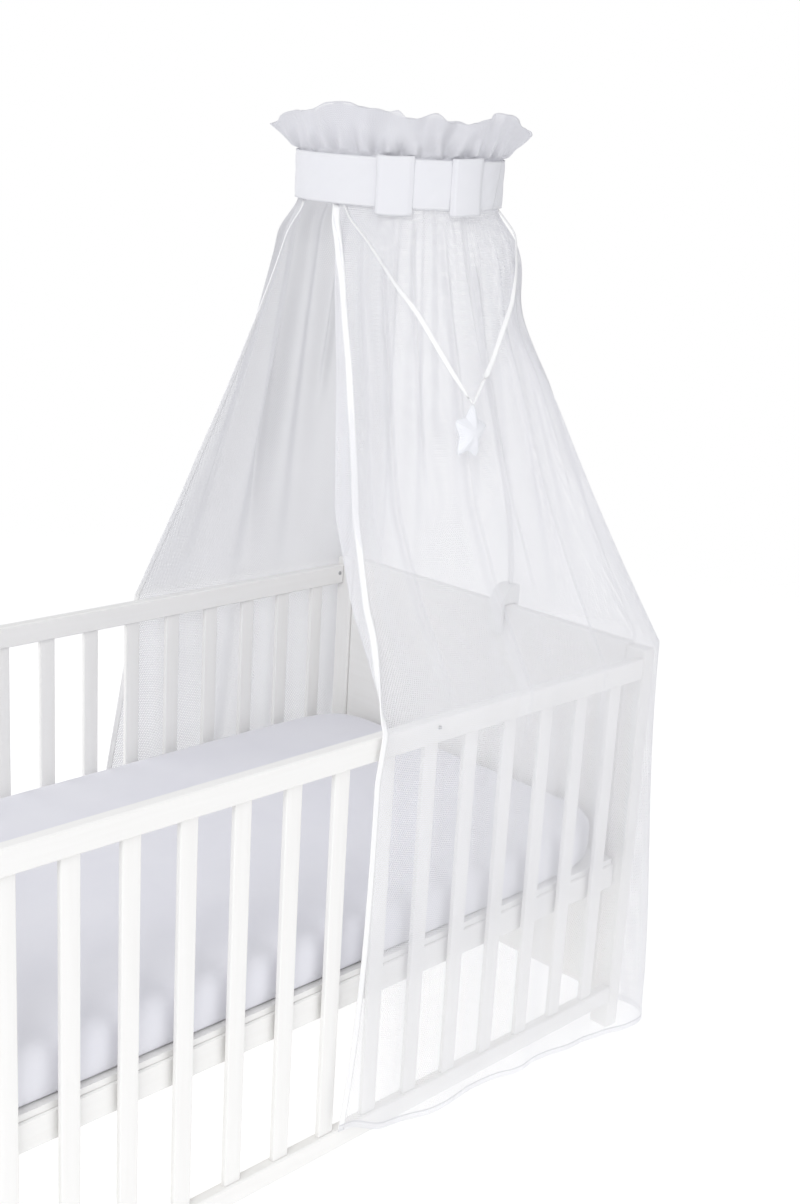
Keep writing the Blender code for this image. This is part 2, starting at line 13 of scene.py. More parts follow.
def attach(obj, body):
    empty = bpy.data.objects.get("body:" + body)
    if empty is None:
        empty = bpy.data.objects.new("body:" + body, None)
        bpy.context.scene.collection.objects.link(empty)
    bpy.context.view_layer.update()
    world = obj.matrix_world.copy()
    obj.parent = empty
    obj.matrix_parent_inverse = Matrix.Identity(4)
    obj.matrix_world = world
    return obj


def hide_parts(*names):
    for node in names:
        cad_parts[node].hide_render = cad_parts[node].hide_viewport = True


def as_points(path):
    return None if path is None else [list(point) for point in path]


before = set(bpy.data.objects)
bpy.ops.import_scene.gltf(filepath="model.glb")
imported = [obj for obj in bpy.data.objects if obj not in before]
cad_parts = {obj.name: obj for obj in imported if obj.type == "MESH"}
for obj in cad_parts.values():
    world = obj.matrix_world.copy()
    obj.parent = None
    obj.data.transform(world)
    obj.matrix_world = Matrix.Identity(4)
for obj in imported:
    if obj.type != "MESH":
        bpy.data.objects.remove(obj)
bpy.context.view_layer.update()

# Camera of the photograph, solved from the crib's rails and slats
EYE = (-1.4242, -1.8248, 1.4775)
EYE_RIGHT = (0.70739, -0.7046, 0.05602)
EYE_UP = (0.15194, 0.22899, 0.9615)
EYE_FORWARD = (0.6903, 0.67164, -0.26904)
LENS = 46.24
SENSOR = 36.0

# Crib
HEAD_X = 0.6878
LENGTH = 1.435
WIDTH = 0.765
RAIL_Z = 0.705
RAIL_H = 0.037
RAIL_D = 0.019
LOW_RAIL_TOP = 0.0855
POST_X = 0.030
PITCH = 0.0888           # slat spacing
SLAT_W = 0.0288
SLAT_D = 0.009
SLATS = 15
FIRST_SLAT = 0.0959      # head end to the first slat's middle
SLAT_ROUND = 0.0022      # bevel of the slats' upright edges
GAP = 0.0004             # air between touching pieces
MATTRESS_Z = 0.3305
MATTRESS_AIR = 0.008     # from the mattress to the posts and rails
# Up the mattress's side: height over its underside and inset from its widest outline
MATTRESS_SIDE = ((0.0, 0.010), (0.004, 0.005), (0.010, 0.002), (0.030, 0.0), (0.055, 0.0), (0.066, 0.002),
                 (0.074, 0.006), (0.080, 0.011), (0.0835, 0.018), (0.0855, 0.028))
# Rings on its top, as shares of the last ring of its side
MATTRESS_TOP = (0.86, 0.74, 0.60, 0.44, 0.28, 0.12)
MATTRESS_CROWN = 0.0045
SQUARE = 12              # power of its rounded outline: the higher, the squarer

# Screw heads: places, all facing -Y, and profile of radius and height
FIXINGS = ((0.6472, WIDTH / 2 - RAIL_D, 0.6895), (0.1576, -WIDTH / 2, 0.6925))
FIXING_PROFILE = ((0.0040, -0.0003), (0.0040, 0.0005), (0.0034, 0.0010), (0.0021, 0.0011), (0.0019, 0.0002))

# Hoop and band
HOOP_X = -0.344
HOOP_Y = -0.050
HOOP_Z = RAIL_Z + 0.7620
HOOP_TILT = math.radians(2.6)
TILT_DIR = math.radians(224.0)
BAND_R = 0.1598
BAND_T = 0.0018
BAND_LOW = RAIL_Z + 0.7244
BAND_HIGH = RAIL_Z + 0.7951
SEAM = math.radians(-66.0)
LAP = math.radians(24.0)         # how far the band's lapped end goes on past the seam
LAP_CLIMB = math.radians(18.0)   # over which the other end climbs to lie on it
LAP_SLANT = math.radians(9.0)
LAP_TURN = math.radians(30.0)    # over which the slant comes in
LAP_AIR = 0.0006
BAND_EASE = 0.0009               # how far the band stands off its inner radius
LOOP_T = 0.0016
LOOP_AIR = 0.0012                # from the band's cloth to a loop's, which is drawn in by this at half height
LOOP_PROUD = 0.0065              # most that a loop bulges beyond that
LOOP_OVER = 0.004                # top of the loops over the band
LOOP_UNDER = 0.012               # bottom below it
LOOP_SPANS = ((math.radians(-147.0), math.radians(-127.5)), (math.radians(-107.0), math.radians(-87.0)))
# Shares of a stitch's length and of its radius
STITCH = ((0.0, 0.25), (0.25, 1.0), (0.75, 1.0), (1.0, 0.25))
FRILL_FOOT_R = 0.1570
FRILL_FOOT = 0.0012              # height of its foot over the band
FRILL_TUCK = 0.0082              # how far it reaches down inside the band
FRILL_T = 0.0010
# Top edge of the frill round the hoop: angle in degrees, height over the band and radius
FRILL = {
    "angle": (-230, -220, -203, -182, -164, -150, -141, -137, -133, -120, -114, -104, -95,
              -86, -76, -60, -50, -34, -14, 8, 28, 40, 58, 78, 98, 112),
    "rise": (.040, .032, .056, .059, .076, .068, .064, .070, .053, .066, .054, .052, .060,
             .069, .070, .048, .038, .057, .057, .048, .053, .050, .062, .069, .055, .053),
    "reach": (.195, .2035, .183, .186, .200, .192, .181, .187, .174, .198, .185, .179, .196,
              .182, .185, .197, .2005, .184, .196, .180, .198, .184, .193, .200, .184, .197),
}

# Star and ribbons
STAR_AT = (-0.4104, -0.2936, 0.4015)
STAR_FACE = (0.1310, -0.9900, 0.0490)
STAR_ROLL = math.radians(8.7)
STAR_R = 0.046
STAR_IN_R = 0.0262
STAR_T = 0.022
STAR_SLOPE = 0.0235      # distance from the edge over which it swells to its full thickness
STAR_BLUNT = 0.0040      # how much its points are cut back
STAR_RINGS = (1.0, 0.985, 0.955, 0.91, 0.85, 0.77, 0.68, 0.57, 0.44, 0.30, 0.15)
RIBBON_W = 0.0075
RIBBON_T = 0.0006
RIBBON_PROUD = 0.0018    # start of the ribbons outside the band's inner radius
RIBBON_DROP = 0.0020     # and below its lower edge
RIBBON_GRIP = 0.0040     # end of the ribbons inside the star's top point
RIBBON_APART = 0.0008    # and to each side of its middle
RIBBON_STEPS = 97
RIBBON_CUP = 0.0005      # how far its middle stands off its edges
RIBBON_MEET = (68, 28)   # step where it starts to turn with the star, and how many it takes
RIBBON_TAPER = (84, 12)  # the same for drawing in to its end
RIBBON_LOST = 0.45       # share of its width that it loses there
FRONT = (-0.71, -0.70, 0.0)
# Twist is the turn about the route, in radians, from facing FRONT
RIBBON_LEFT = {
    "start": math.radians(-164.0),
    "x": (-0.5050, -0.4943, -0.4745, -0.4508, -0.4068),
    "y": (-0.1123, -0.1456, -0.1866, -0.2066, -0.2466),
    "z": (0.6983, 0.6651, 0.6060, 0.5725, 0.4835),
    "twist": (1.3, 1.3, 1.2, 0.9, 0.3, 0.2, 1.4),
}
RIBBON_RIGHT = {
    "start": math.radians(-62.0),
    "x": (-0.2347, -0.2573, -0.2701, -0.3028, -0.3328),
    "y": (-0.2041, -0.2300, -0.2369, -0.2517, -0.2596),
    "z": (0.6853, 0.6329, 0.5835, 0.5491, 0.4991),
    "twist": (1.2, 1.2, 1.1, 0.5, 0.1, 0.4, 1.4),
}

# Net
NET_TOP_R = 0.1540
OPEN_BACK = math.radians(160.0)     # where the opening's edges leave the band
OPEN_FRONT = math.radians(-169.5)
BACK_END = -0.519        # and where they cross the rails, from the head end
FRONT_END = -0.660
BACK_SWING = 0.085       # how far the back edge has run on at the hem
FRONT_SWING = 0.050      # and the front edge
NET_AIR = 0.007          # net off the outside of the rails
NET_TUCK = 0.006         # net up inside the band
RAIL_LIFT = 0.006        # fold line over the rails
HEAD_LIFT = 0.021        # and further up over the head panel
CLAMP_BULGE = 0.026      # net held out by the clamp
FOLD_GAIN = 1.3          # depth of the folds over that of the solid's
FOLD = {
    "level": (0.0, 0.02, 0.06, 0.3, 0.6, 0.9, 1.0, 1.1, 1.5, 2.0),
    "depth": (0.0012, 0.0028, 0.010, 0.016, 0.017, 0.009, 0.004, 0.007, 0.012, 0.016),
}
TAPE_W = 0.010
TAPE_T = 0.0016
TAPE_WIDER = 1.15        # width of its stretch that faces front, in tape widths
TAPE_TURNS = 0.10        # share of the net's height after which it turns back, and over which it does
TURN_R = 0.004
TURN = math.pi * TURN_R
FLAT_LEAST = 0.0004      # between the turned edge and the tape
EDGE_STEPS = (8, 8, 4)   # columns of the turn, of the flat and of the tape
CORNER_R = 0.006
CORNERS = (0.0, 0.262, 0.272, 0.660, 0.670, 1.0)
FRONT_CORNER = 0.665     # path share of the head end's front corner
FRONT_SHARE = 0.335      # the path from there on
# Path shares of the net's edges and the head end's corners, and their angles at the band
SPREAD = {
    "along": (0.0, 0.267, FRONT_CORNER, 1.0),
    "angle": (OPEN_BACK, math.radians(53), math.radians(-52), OPEN_FRONT),
}
EDGE_R = 0.16            # radius at which the front edge's shift is turned into an angle
FALL = 1.27              # power of the height by which the net runs out from the band to the rails
FALL_HEAD = 0.8          # the same over the head panel
WAIST = 0.075            # drawn in that much at a quarter of the height, at the head end's front corner
HEM_H = 0.011            # height of the turned-up hem
HEM_PROUD = 0.0010       # and its distance from the net
COLUMNS = 441
GORES = 14               # strips of the net's map, so that its mesh stays straight
CELL = 0.0038            # across one mesh of the net
# How much closer the threads draw together, 0 to 1, which also greys them as painted shade
DEEP_SIDE_SHADE = 0.33         # painted shade on the deep side of the opening: closer, greyer threads that darken its inside
DEEP_FROM = 0.24         # where that starts to fade, as a share of the columns
DEEP_OVER = 0.10
FOLD_DENSE_AND_SHADE = 0.40        # at the sides of the folds: closer threads where the cloth turns, and painted shade there
FOLD_REACH = 14          # columns to each side that a fold is compared with
FRILL_REACH = 25
HEM_DENSE = 0.5
TOP_DENSE = (0.16, 0.03)   # under the band, from its first row to the last of TOP_ROWS
TOP_ROWS = 12
FRILL_DENSE = 0.06
# What that does to the threads: width as a share of a mesh, and grey mixed in as painted shade
DENSE_WIDENS = 0.40
DENSE_SHADE_GREYS = 0.60
DENSE_SHADE_GREY = (0.30, 0.30, 0.31, 1.0)
EDGE_WIDENS = 0.32       # width added where the cloth is seen edge-on
# Half a thread as a share of a mesh, and tone
NET_YARN = (0.116, (0.95, 0.95, 0.975))
FRILL_YARN = (0.17, (0.89, 0.89, 0.92))
HEM = {
    "along": (0.00, 0.10, 0.27, 0.45, 0.665, 0.765, 0.865, 0.93, 0.972, 1.00),
    "height": (0.085, 0.062, 0.045, 0.034, 0.0205, 0.042, 0.057, 0.060, 0.074, 0.105),
    "flare": (0.018, 0.020, 0.026, 0.022, 0.034, 0.024, 0.020, 0.018, 0.016, 0.014),
}
CURL = {
    "level": (0.00, 0.012, 0.035, 0.075, 0.15, 0.32, 0.60, 0.78, 0.90, 0.985, 1.00, 1.12),
    "turned": (0.00, 0.00, 0.40, 0.95, 1.00, 1.00, 1.00, 0.95, 0.50, 0.05, 0.00, 0.00),
    "back": (0.011, 0.011, 0.011, 0.012, 0.018, 0.021, 0.031, 0.021, 0.012, 0.011, 0.011, 0.011),
    "lean": (0.004, 0.005, -0.008, -0.013, -0.015, -0.006, 0.030, 0.018, 0.004, -0.009, -0.011, 0.000),
}
# Narrow creases on top of the folds: path share at the band and at their lower end, depth and width
CREASES = {
    "top": (0.05, 0.12, 0.21, 0.30, 0.38, 0.46, 0.55, 0.62, 0.70, 0.74, 0.79, 0.84, 0.885, 0.93, 0.965),
    "low": (0.04, 0.13, 0.20, 0.31, 0.39, 0.44, 0.56, 0.635, 0.71, 0.752, 0.80, 0.852, 0.90, 0.935, 0.962),
    "from": (0.00, 0.02, 0.00, 0.04, 0.00, 0.05, 0.00, 0.00, 0.03, 0.00, 0.06, 0.00, 0.00, 0.04, 0.02),
    "to": (0.80, 0.95, 0.60, 1.30, 0.70, 0.90, 1.10, 1.30, 0.70, 1.25, 0.90, 1.35, 0.65, 1.15, 0.80),
    "height": (7.0, 5.0, 7.5, 5.0, 6.5, 6.0, 5.5, 7.5, 7.0, 6.0, 8.0, 7.0, 6.0, 7.5, 5.5),
    "width": (3.6, 3.0, 4.0, 3.2, 4.2, 3.0, 3.6, 3.2, 2.8, 3.4, 3.0, 3.8, 2.6, 3.2, 2.8),
}

# Floor, all-round light and lamps
FLOOR_R = 4.2
FLOOR_Z = -0.0005
FLOOR_FADE = 1.5         # from here to the rim it fades out
FLOOR_GLOW = 0.60        # its own light, to come out as pale as the photo's ground
WORLD = 0.67
LAMP_AIM = (0.0, 0.0, 0.75)
# Name, place, size in metres and power in watts
LAMPS = (
    ("key", (-2.6, -1.6, 3.0), 1.8, 56.0),
    ("fill", (0.9, -3.4, 1.4), 2.4, 16.0),
    ("back", (-1.6, 3.0, 1.6), 2.2, 26.0),
)


def camera():
    """The eye of the photograph, in the part's frame."""
    data = bpy.data.cameras.new("camera")
    data.lens = LENS
    data.sensor_width = SENSOR
    obj = bpy.data.objects.new("camera", data)
    turn = Matrix((Vector(EYE_RIGHT), Vector(EYE_UP), -Vector(EYE_FORWARD))).transposed().to_4x4()
    obj.matrix_world = Matrix.Translation(EYE) @ turn
    bpy.context.scene.collection.objects.link(obj)
    bpy.context.scene.camera = obj


def smooth(t):
    t = np.clip(t, 0.0, 1.0)
    return t * t * (3.0 - 2.0 * t)


def bump(x, centre, width):
    return np.exp(-((x - centre) / width) ** 2)


def tilt(p):
    """Tilts points about the hoop's centre so that its near side sags."""
    p = np.asarray(p, float)
    rel = p - np.array([HEAD_X + HOOP_X, HOOP_Y, HOOP_Z])
    low = np.array([math.cos(TILT_DIR), math.sin(TILT_DIR), 0.0])
    along = rel @ low
    out = p.copy()
    out[..., 2] -= along * math.sin(HOOP_TILT)
    out += np.multiply.outer(rel[..., 2] * math.sin(HOOP_TILT), low)
    return out


def soft_curve(x, xs, ys):
    """Table value at x, with the corners of the table rounded."""
    near = np.array((-0.018, -0.009, 0.0, 0.009, 0.018))
    return float(np.interp(x + near, xs, ys) @ np.array((0.1, 0.23, 0.34, 0.23, 0.1)))


# Shaders
def put(tree, socket, value):
    if isinstance(value, bpy.types.NodeSocket):
        tree.links.new(value, socket)
    elif value is not None:
        socket.default_value = value


def fill_in(tree, target, values):
    """Sets or links a node's inputs by their names."""
    for key, value in values.items():
        put(tree, target.inputs[key], value)


def node(tree, kind, *ins, named=None, **props):
    n = tree.nodes.new("ShaderNode" + kind)
    for key, value in props.items():
        setattr(n, key, value)
    for k, value in enumerate(ins):
        put(tree, n.inputs[k], value)
    fill_in(tree, n, named or {})
    return n


def calc(tree, operation, a, b=None, c=None):
    return node(tree, "Math", a, b, c, operation=operation).outputs[0]


def spread(tree, value, low, high, to_low, to_high, kind="LINEAR"):
    ends = {"From Min": low, "From Max": high, "To Min": to_low, "To Max": to_high}
    return node(tree, "MapRange", value, named=ends, interpolation_type=kind).outputs[0]


def material(name):
    mat = bpy.data.materials.new(name)
    mat.use_nodes = True
    return mat, mat.node_tree, mat.node_tree.nodes["Principled BSDF"]


def own_place(tree):
    """The piece's own coordinates."""
    return node(tree, "TexCoord").outputs["Object"]


def cloth_place(tree):
    """Place on the flat cloth, in metres."""
    return node(tree, "UVMap", uv_map="cloth").outputs[0]


def mixed(tree, share, first, second):
    """Colour between two others."""
    mix = node(tree, "Mix", share, data_type="RGBA")
    put(tree, mix.inputs[6], first)
    put(tree, mix.inputs[7], second)
    return mix.outputs[2]


def tinted(tree, light, dark, scale, detail=3.0, coords=None):
    """Cloudy mix of two close tones."""
    noise = node(tree, "TexNoise", coords, named={"Scale": scale, "Detail": detail})
    share = spread(tree, noise.outputs[0], 0.35, 0.65, 0.0, 1.0)
    return mixed(tree, share, (*light, 1.0), (*dark, 1.0))


def finished(tree, shader):
    """Makes a shader the material's surface."""
    put(tree, tree.nodes["Material Output"].inputs[0], shader.outputs[0])


def clear(tree):
    return node(tree, "BsdfTransparent", (1.0, 1.0, 1.0, 1.0)).outputs[0]


def hex_threads(tree, uv, cell, half):
    """1 on the threads of a hexagonal mesh, 0 in its holes. half is half a thread over the cell."""
    tall = math.sqrt(3.0) / 2.0
    p = node(tree, "VectorMath", uv, operation="SCALE", named={"Scale": 1.0 / cell}).outputs[0]
    shifted = node(tree, "VectorMath", p, (0.5, tall, 0.0), operation="SUBTRACT").outputs[0]
    near = [node(tree, "VectorMath", q, (0.5, tall, 1.0), (-0.5, -tall, -1.0), operation="WRAP").outputs[0]
            for q in (p, shifted)]
    long = [node(tree, "VectorMath", q, operation="LENGTH").outputs["Value"] for q in near]
    first = calc(tree, "LESS_THAN", long[0], long[1])
    pick = node(tree, "Mix", first, data_type="VECTOR")
    put(tree, pick.inputs[4], near[1])
    put(tree, pick.inputs[5], near[0])
    flat = node(tree, "VectorMath", pick.outputs[1], operation="ABSOLUTE").outputs[0]
    across = node(tree, "SeparateXYZ", flat).outputs[0]
    slant = node(tree, "VectorMath", flat, (0.5, tall, 0.0), operation="DOT_PRODUCT").outputs["Value"]
    inside = calc(tree, "SUBTRACT", 0.5, calc(tree, "MAXIMUM", across, slant))
    low = calc(tree, "SUBTRACT", half, 0.03)
    high = calc(tree, "ADD", half, 0.03)
    return spread(tree, inside, low, high, 1.0, 0.0, "SMOOTHSTEP")


def net_material(name, half, tone):
    """Sheer hexagonal net: threads of soft white yarn, wider where dense and greyed there as painted shade,
    and clear holes.
    """
    mat, tree, shader = material(name)
    thick = node(tree, "Attribute", attribute_name="dense_and_shade").outputs["Fac"]
    edge_on = node(tree, "LayerWeight", 0.35).outputs["Facing"]
    grown = calc(tree, "POWER", edge_on, 2.0)
    width = calc(tree, "MULTIPLY_ADD", thick, DENSE_WIDENS, half)
    width = calc(tree, "MULTIPLY_ADD", grown, EDGE_WIDENS, width)
    threads = hex_threads(tree, cloth_place(tree), CELL, width)
    colour = tinted(tree, tone, tuple(v * 0.955 for v in tone), 5.0, coords=own_place(tree))
    # Painted shade: grey mixed into the threads as far as they are dense
    colour = mixed(tree, calc(tree, "MULTIPLY", thick, DENSE_SHADE_GREYS), colour, DENSE_SHADE_GREY)
    raised = node(tree, "Bump", 0.5, 0.0003, named={"Height": threads})
    fill_in(tree, shader, {"Base Color": colour, "Normal": raised.outputs[0], "Roughness": 0.75,
                           "Sheen Weight": 0.25, "Sheen Roughness": 0.4, "Specular IOR Level": 0.2})
    glow = node(tree, "BsdfTranslucent", colour)
    yarn = node(tree, "MixShader", 0.38, shader.outputs[0], glow.outputs[0])
    finished(tree, node(tree, "MixShader", threads, clear(tree), yarn.outputs[0]))
    return mat


def cotton(name, light, dark, thread=0.0007, depth=0.00012, sheen=0.2):
    """Closely woven cloth: crossing threads, faint cloudy tone and a soft sheen."""
    mat, tree, shader = material(name)
    spun = node(tree, "VectorMath", cloth_place(tree), operation="SCALE", named={"Scale": math.pi / thread})
    parts = node(tree, "SeparateXYZ", spun.outputs[0])
    warp = calc(tree, "SINE", parts.outputs[0])
    weft = calc(tree, "SINE", parts.outputs[1])
    woven = calc(tree, "MULTIPLY", warp, weft)
    body = own_place(tree)
    slub = node(tree, "TexNoise", body, named={"Scale": 160.0, "Detail": 2.0}).outputs[0]
    crumple = node(tree, "TexNoise", body, named={"Scale": 22.0, "Detail": 3.0}).outputs[0]
    height = calc(tree, "MULTIPLY_ADD", slub, 0.6, woven)
    raised = node(tree, "Bump", 0.6, depth, named={"Height": height})
    waved = node(tree, "Bump", 0.5, 0.0012, named={"Height": crumple, "Normal": raised.outputs[0]})
    colour = tinted(tree, light, dark, 9.0, coords=body)
    fill_in(tree, shader, {"Base Color": colour, "Normal": waved.outputs[0],
                           "Roughness": spread(tree, slub, 0.3, 0.7, 0.78, 0.92), "Sheen Weight": sheen,
                           "Sheen Roughness": 0.5, "Specular IOR Level": 0.25})
    return mat


def lacquer(name, along, light=(0.865, 0.860, 0.845), dark=(0.850, 0.843, 0.826)):
    """White paint on wood: long faint grain, a fine orange peel and a satin gloss."""
    mat, tree, shader = material(name)
    body = own_place(tree)
    stretch = [60.0, 60.0, 60.0]
    stretch[along] = 3.0
    grain_at = node(tree, "Mapping", body, named={"Scale": tuple(stretch)}).outputs[0]
    grain = node(tree, "TexNoise", grain_at, named={"Scale": 2.0, "Detail": 5.0}).outputs[0]
    peel = node(tree, "TexNoise", body, named={"Scale": 420.0, "Detail": 2.0}).outputs[0]
    height = calc(tree, "MULTIPLY_ADD", peel, 0.35, grain)
    raised = node(tree, "Bump", 0.12, 0.0004, named={"Height": height})
    colour = tinted(tree, light, dark, 2.0, 5.0, grain_at)
    fill_in(tree, shader, {"Base Color": colour, "Normal": raised.outputs[0],
                           "Roughness": spread(tree, grain, 0.3, 0.7, 0.36, 0.48),
                           "Coat Weight": 0.12, "Coat Roughness": 0.3})
    return mat


def plastic(name, colour, rough, metal=0.0):
    """Moulded or coated piece with a faint texture in its gloss."""
    mat, tree, shader = material(name)
    body = own_place(tree)
    fine = node(tree, "TexNoise", body, named={"Scale": 300.0, "Detail": 3.0}).outputs[0]
    raised = node(tree, "Bump", 0.25, 0.0003, named={"Height": fine})
    mottled = tinted(tree, colour, tuple(v * 0.95 for v in colour), 30.0, coords=body)
    fill_in(tree, shader, {"Base Color": mottled, "Normal": raised.outputs[0], "Metallic": metal,
                           "Roughness": spread(tree, fine, 0.3, 0.7, rough - 0.05, rough + 0.07)})
    return mat


# Mesh helpers
def link(name, mesh, mat):
    obj = bpy.data.objects.new(name, mesh)
    bpy.context.scene.collection.objects.link(obj)
    obj.data.materials.append(mat)
    for poly in obj.data.polygons:
        poly.use_smooth = True
    return obj


def from_faces(name, verts, faces, mat):
    mesh = bpy.data.meshes.new(name)
    mesh.from_pydata([tuple(v) for v in verts], [], faces)
    return link(name, mesh, mat)


def quads(rows, cols, closed=False, base=0):
    """Faces between the neighbouring rows of a grid, and round to its first column if closed."""
    return [(base + r * cols + c, base + r * cols + (c + 1) % cols,
             base + (r + 1) * cols + (c + 1) % cols, base + (r + 1) * cols + c)
            for r in range(rows - 1) for c in range(cols if closed else cols - 1)]


def lay_map(obj, uv):
    """Gives each face corner its place on the flat cloth, in metres."""
    obj.data.uv_layers.new(name="cloth").data.foreach_set("uv", np.asarray(uv, float).ravel())


# Per-point share of closer threads, which also sets how much painted shade greys them
def add_dense_and_shade(obj, values):
    layer = obj.data.attributes.new("dense_and_shade", "FLOAT", "POINT")
    layer.data.foreach_set("value", np.asarray(values, float))


def stand_in(obj, slot, *nodes):
    """Puts a piece on the one body and in the place of CAD nodes; slot is not used."""
    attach(obj, "root")
    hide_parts(*nodes)


def grid_normals(g, closed=False):
    du = (np.roll(g, -1, axis=1) - np.roll(g, 1, axis=1)) if closed else np.gradient(g, axis=1)
    n = np.cross(du, np.gradient(g, axis=0))
    return n / np.linalg.norm(n, axis=2, keepdims=True)


def slanted(n, reach, closed=False):
    """How far the cloth leans out of its broad direction, 0 to 1: most at the sides of its folds."""
    mean = sum(np.roll(n, shift, axis=1) for shift in range(-reach, reach + 1))
    mean /= np.linalg.norm(mean, axis=2, keepdims=True)
    lean = 1.0 - np.sum(n * mean, axis=2) ** 2
    if not closed:
        lean[:, :reach] = 0.0
        lean[:, -reach - sum(EDGE_STEPS):] = 0.0
    return lean


def grid_lengths(g):
    """Cloth lengths along the rows and down the columns of a grid."""
    across = np.zeros(g.shape[:2])
    down = np.zeros(g.shape[:2])
    across[:, 1:] = np.cumsum(np.linalg.norm(np.diff(g, axis=1), axis=2), axis=1)
    down[1:] = np.cumsum(np.linalg.norm(np.diff(g, axis=0), axis=2), axis=0)
    return across, down


def cloth(name, g, mat, dense_and_shade):
    """Open sheet on a grid, with the cloth's own lengths as its map, in strips from a line down each."""
    rows, cols = g.shape[:2]
    faces = quads(rows, cols)
    obj = from_faces(name, g.reshape(-1, 3), faces, mat)
    across, down = grid_lengths(g)
    each = (cols - 1) / GORES
    start = [int(c // each) for c in range(cols - 1)]
    middle = [int((s + 0.5) * each) for s in start]
    r, c = np.divmod(np.array(faces), cols)
    ref = np.array(middle)[c[:, 0]][:, None]
    shift = np.array(start)[c[:, 0]][:, None] * 0.31
    lay_map(obj, np.stack([across[r, c] - across[r, ref] + shift, down[r, c]], axis=2))
    add_dense_and_shade(obj, dense_and_shade.ravel())
    return obj


def doubled(name, g, thick, mat, closed=False, dense_and_shade=0.0):
    """Cloth with two faces, thick metres apart, joined round its edges."""
    out = grid_normals(g, closed) * thick / 2
    rows, cols = g.shape[:2]
    size = rows * cols
    verts = np.concatenate([(g + out).reshape(-1, 3), (g - out).reshape(-1, 3)])
    across, down = grid_lengths(g)
    faces = []
    for a, b, d, e in quads(rows, cols, closed):
        faces += [(a, b, d, e), (size + a, size + e, size + d, size + b)]
    for c in range(cols if closed else cols - 1):
        m = (c + 1) % cols
        faces.append((c, size + c, size + m, m))
        k = (rows - 1) * cols
        faces.append((k + c, k + m, size + k + m, size + k + c))
    if not closed:
        for r in range(rows - 1):
            for c, flip in ((0, False), (cols - 1, True)):
                a, b = r * cols + c, (r + 1) * cols + c
                edge = (a, b, size + b, size + a)
                faces.append(edge[::-1] if flip else edge)
    obj = from_faces(name, verts, faces, mat)
    loops = np.array([v for f in faces for v in f]) % size
    u = across.ravel()[loops]
    if closed:
        corners = loops.reshape(-1, 4)
        u = u.reshape(-1, 4).copy()
        wrap_here = (corners % cols).max(axis=1) - (corners % cols).min(axis=1) > 1
        last_u = across[:, -1] + np.linalg.norm(g[:, 0] - g[:, -1], axis=1)
        for k in np.flatnonzero(wrap_here):
            for j in range(4):
                if corners[k, j] % cols == 0:
                    u[k, j] = last_u[corners[k, j] // cols]
        u = u.ravel()
    lay_map(obj, np.stack([u, down.ravel()[loops]], axis=1))
    add_dense_and_shade(obj, np.tile(np.broadcast_to(dense_and_shade, (rows, cols)).ravel(), 2))
    return obj


def stitches(name, path, out, mat, pitch=0.0034, length=0.0024, radius=0.00035):
    """Row of small sewn stitches along a path, standing out by its normals."""
    steps = np.linalg.norm(np.diff(path, axis=0), axis=1)
    along = np.concatenate([[0.0], np.cumsum(steps)])
    sides = 5
    verts = []
    faces = []
    for s in np.arange(pitch / 2, along[-1] - length, pitch):
        p = np.array([np.interp(s, along, path[:, k]) for k in range(3)])
        q = np.array([np.interp(s + length, along, path[:, k]) for k in range(3)])
        n = np.array([np.interp(s, along, out[:, k]) for k in range(3)])
        side = np.cross(q - p, n)
        side /= np.linalg.norm(side)
        base = len(verts)
        for share, full in STITCH:
            centre = p + (q - p) * share
            for k in range(sides):
                a = 2 * math.pi * k / sides
                verts.append(centre + radius * full * (math.cos(a) * side + math.sin(a) * n))
        faces += quads(len(STITCH), sides, True, base)
        faces.append(tuple(range(base, base + sides))[::-1])
        faces.append(tuple(range(len(verts) - sides, len(verts))))
    return from_faces(name, verts, faces, mat)


# Ribbons
def star_axes():
    """The star's directions to its right, up and out of its face, and its middle."""
    face = np.array(STAR_FACE) / np.linalg.norm(STAR_FACE)
    up = np.array([0.0, 0.0, 1.0]) - face[2] * face
    up /= np.linalg.norm(up)
    side = np.cross(up, face)
    roll, level = math.sin(STAR_ROLL), math.cos(STAR_ROLL)
    centre = np.array([HEAD_X + STAR_AT[0], STAR_AT[1], RAIL_Z + STAR_AT[2]])
    return side * level - up * roll, up * level + side * roll, face, centre


def ease(values, times):
    """Rounds off a row of values in place and leaves its ends."""
    for _ in range(times):
        values[1:-1] = 0.25 * values[:-2] + 0.5 * values[1:-1] + 0.25 * values[2:]


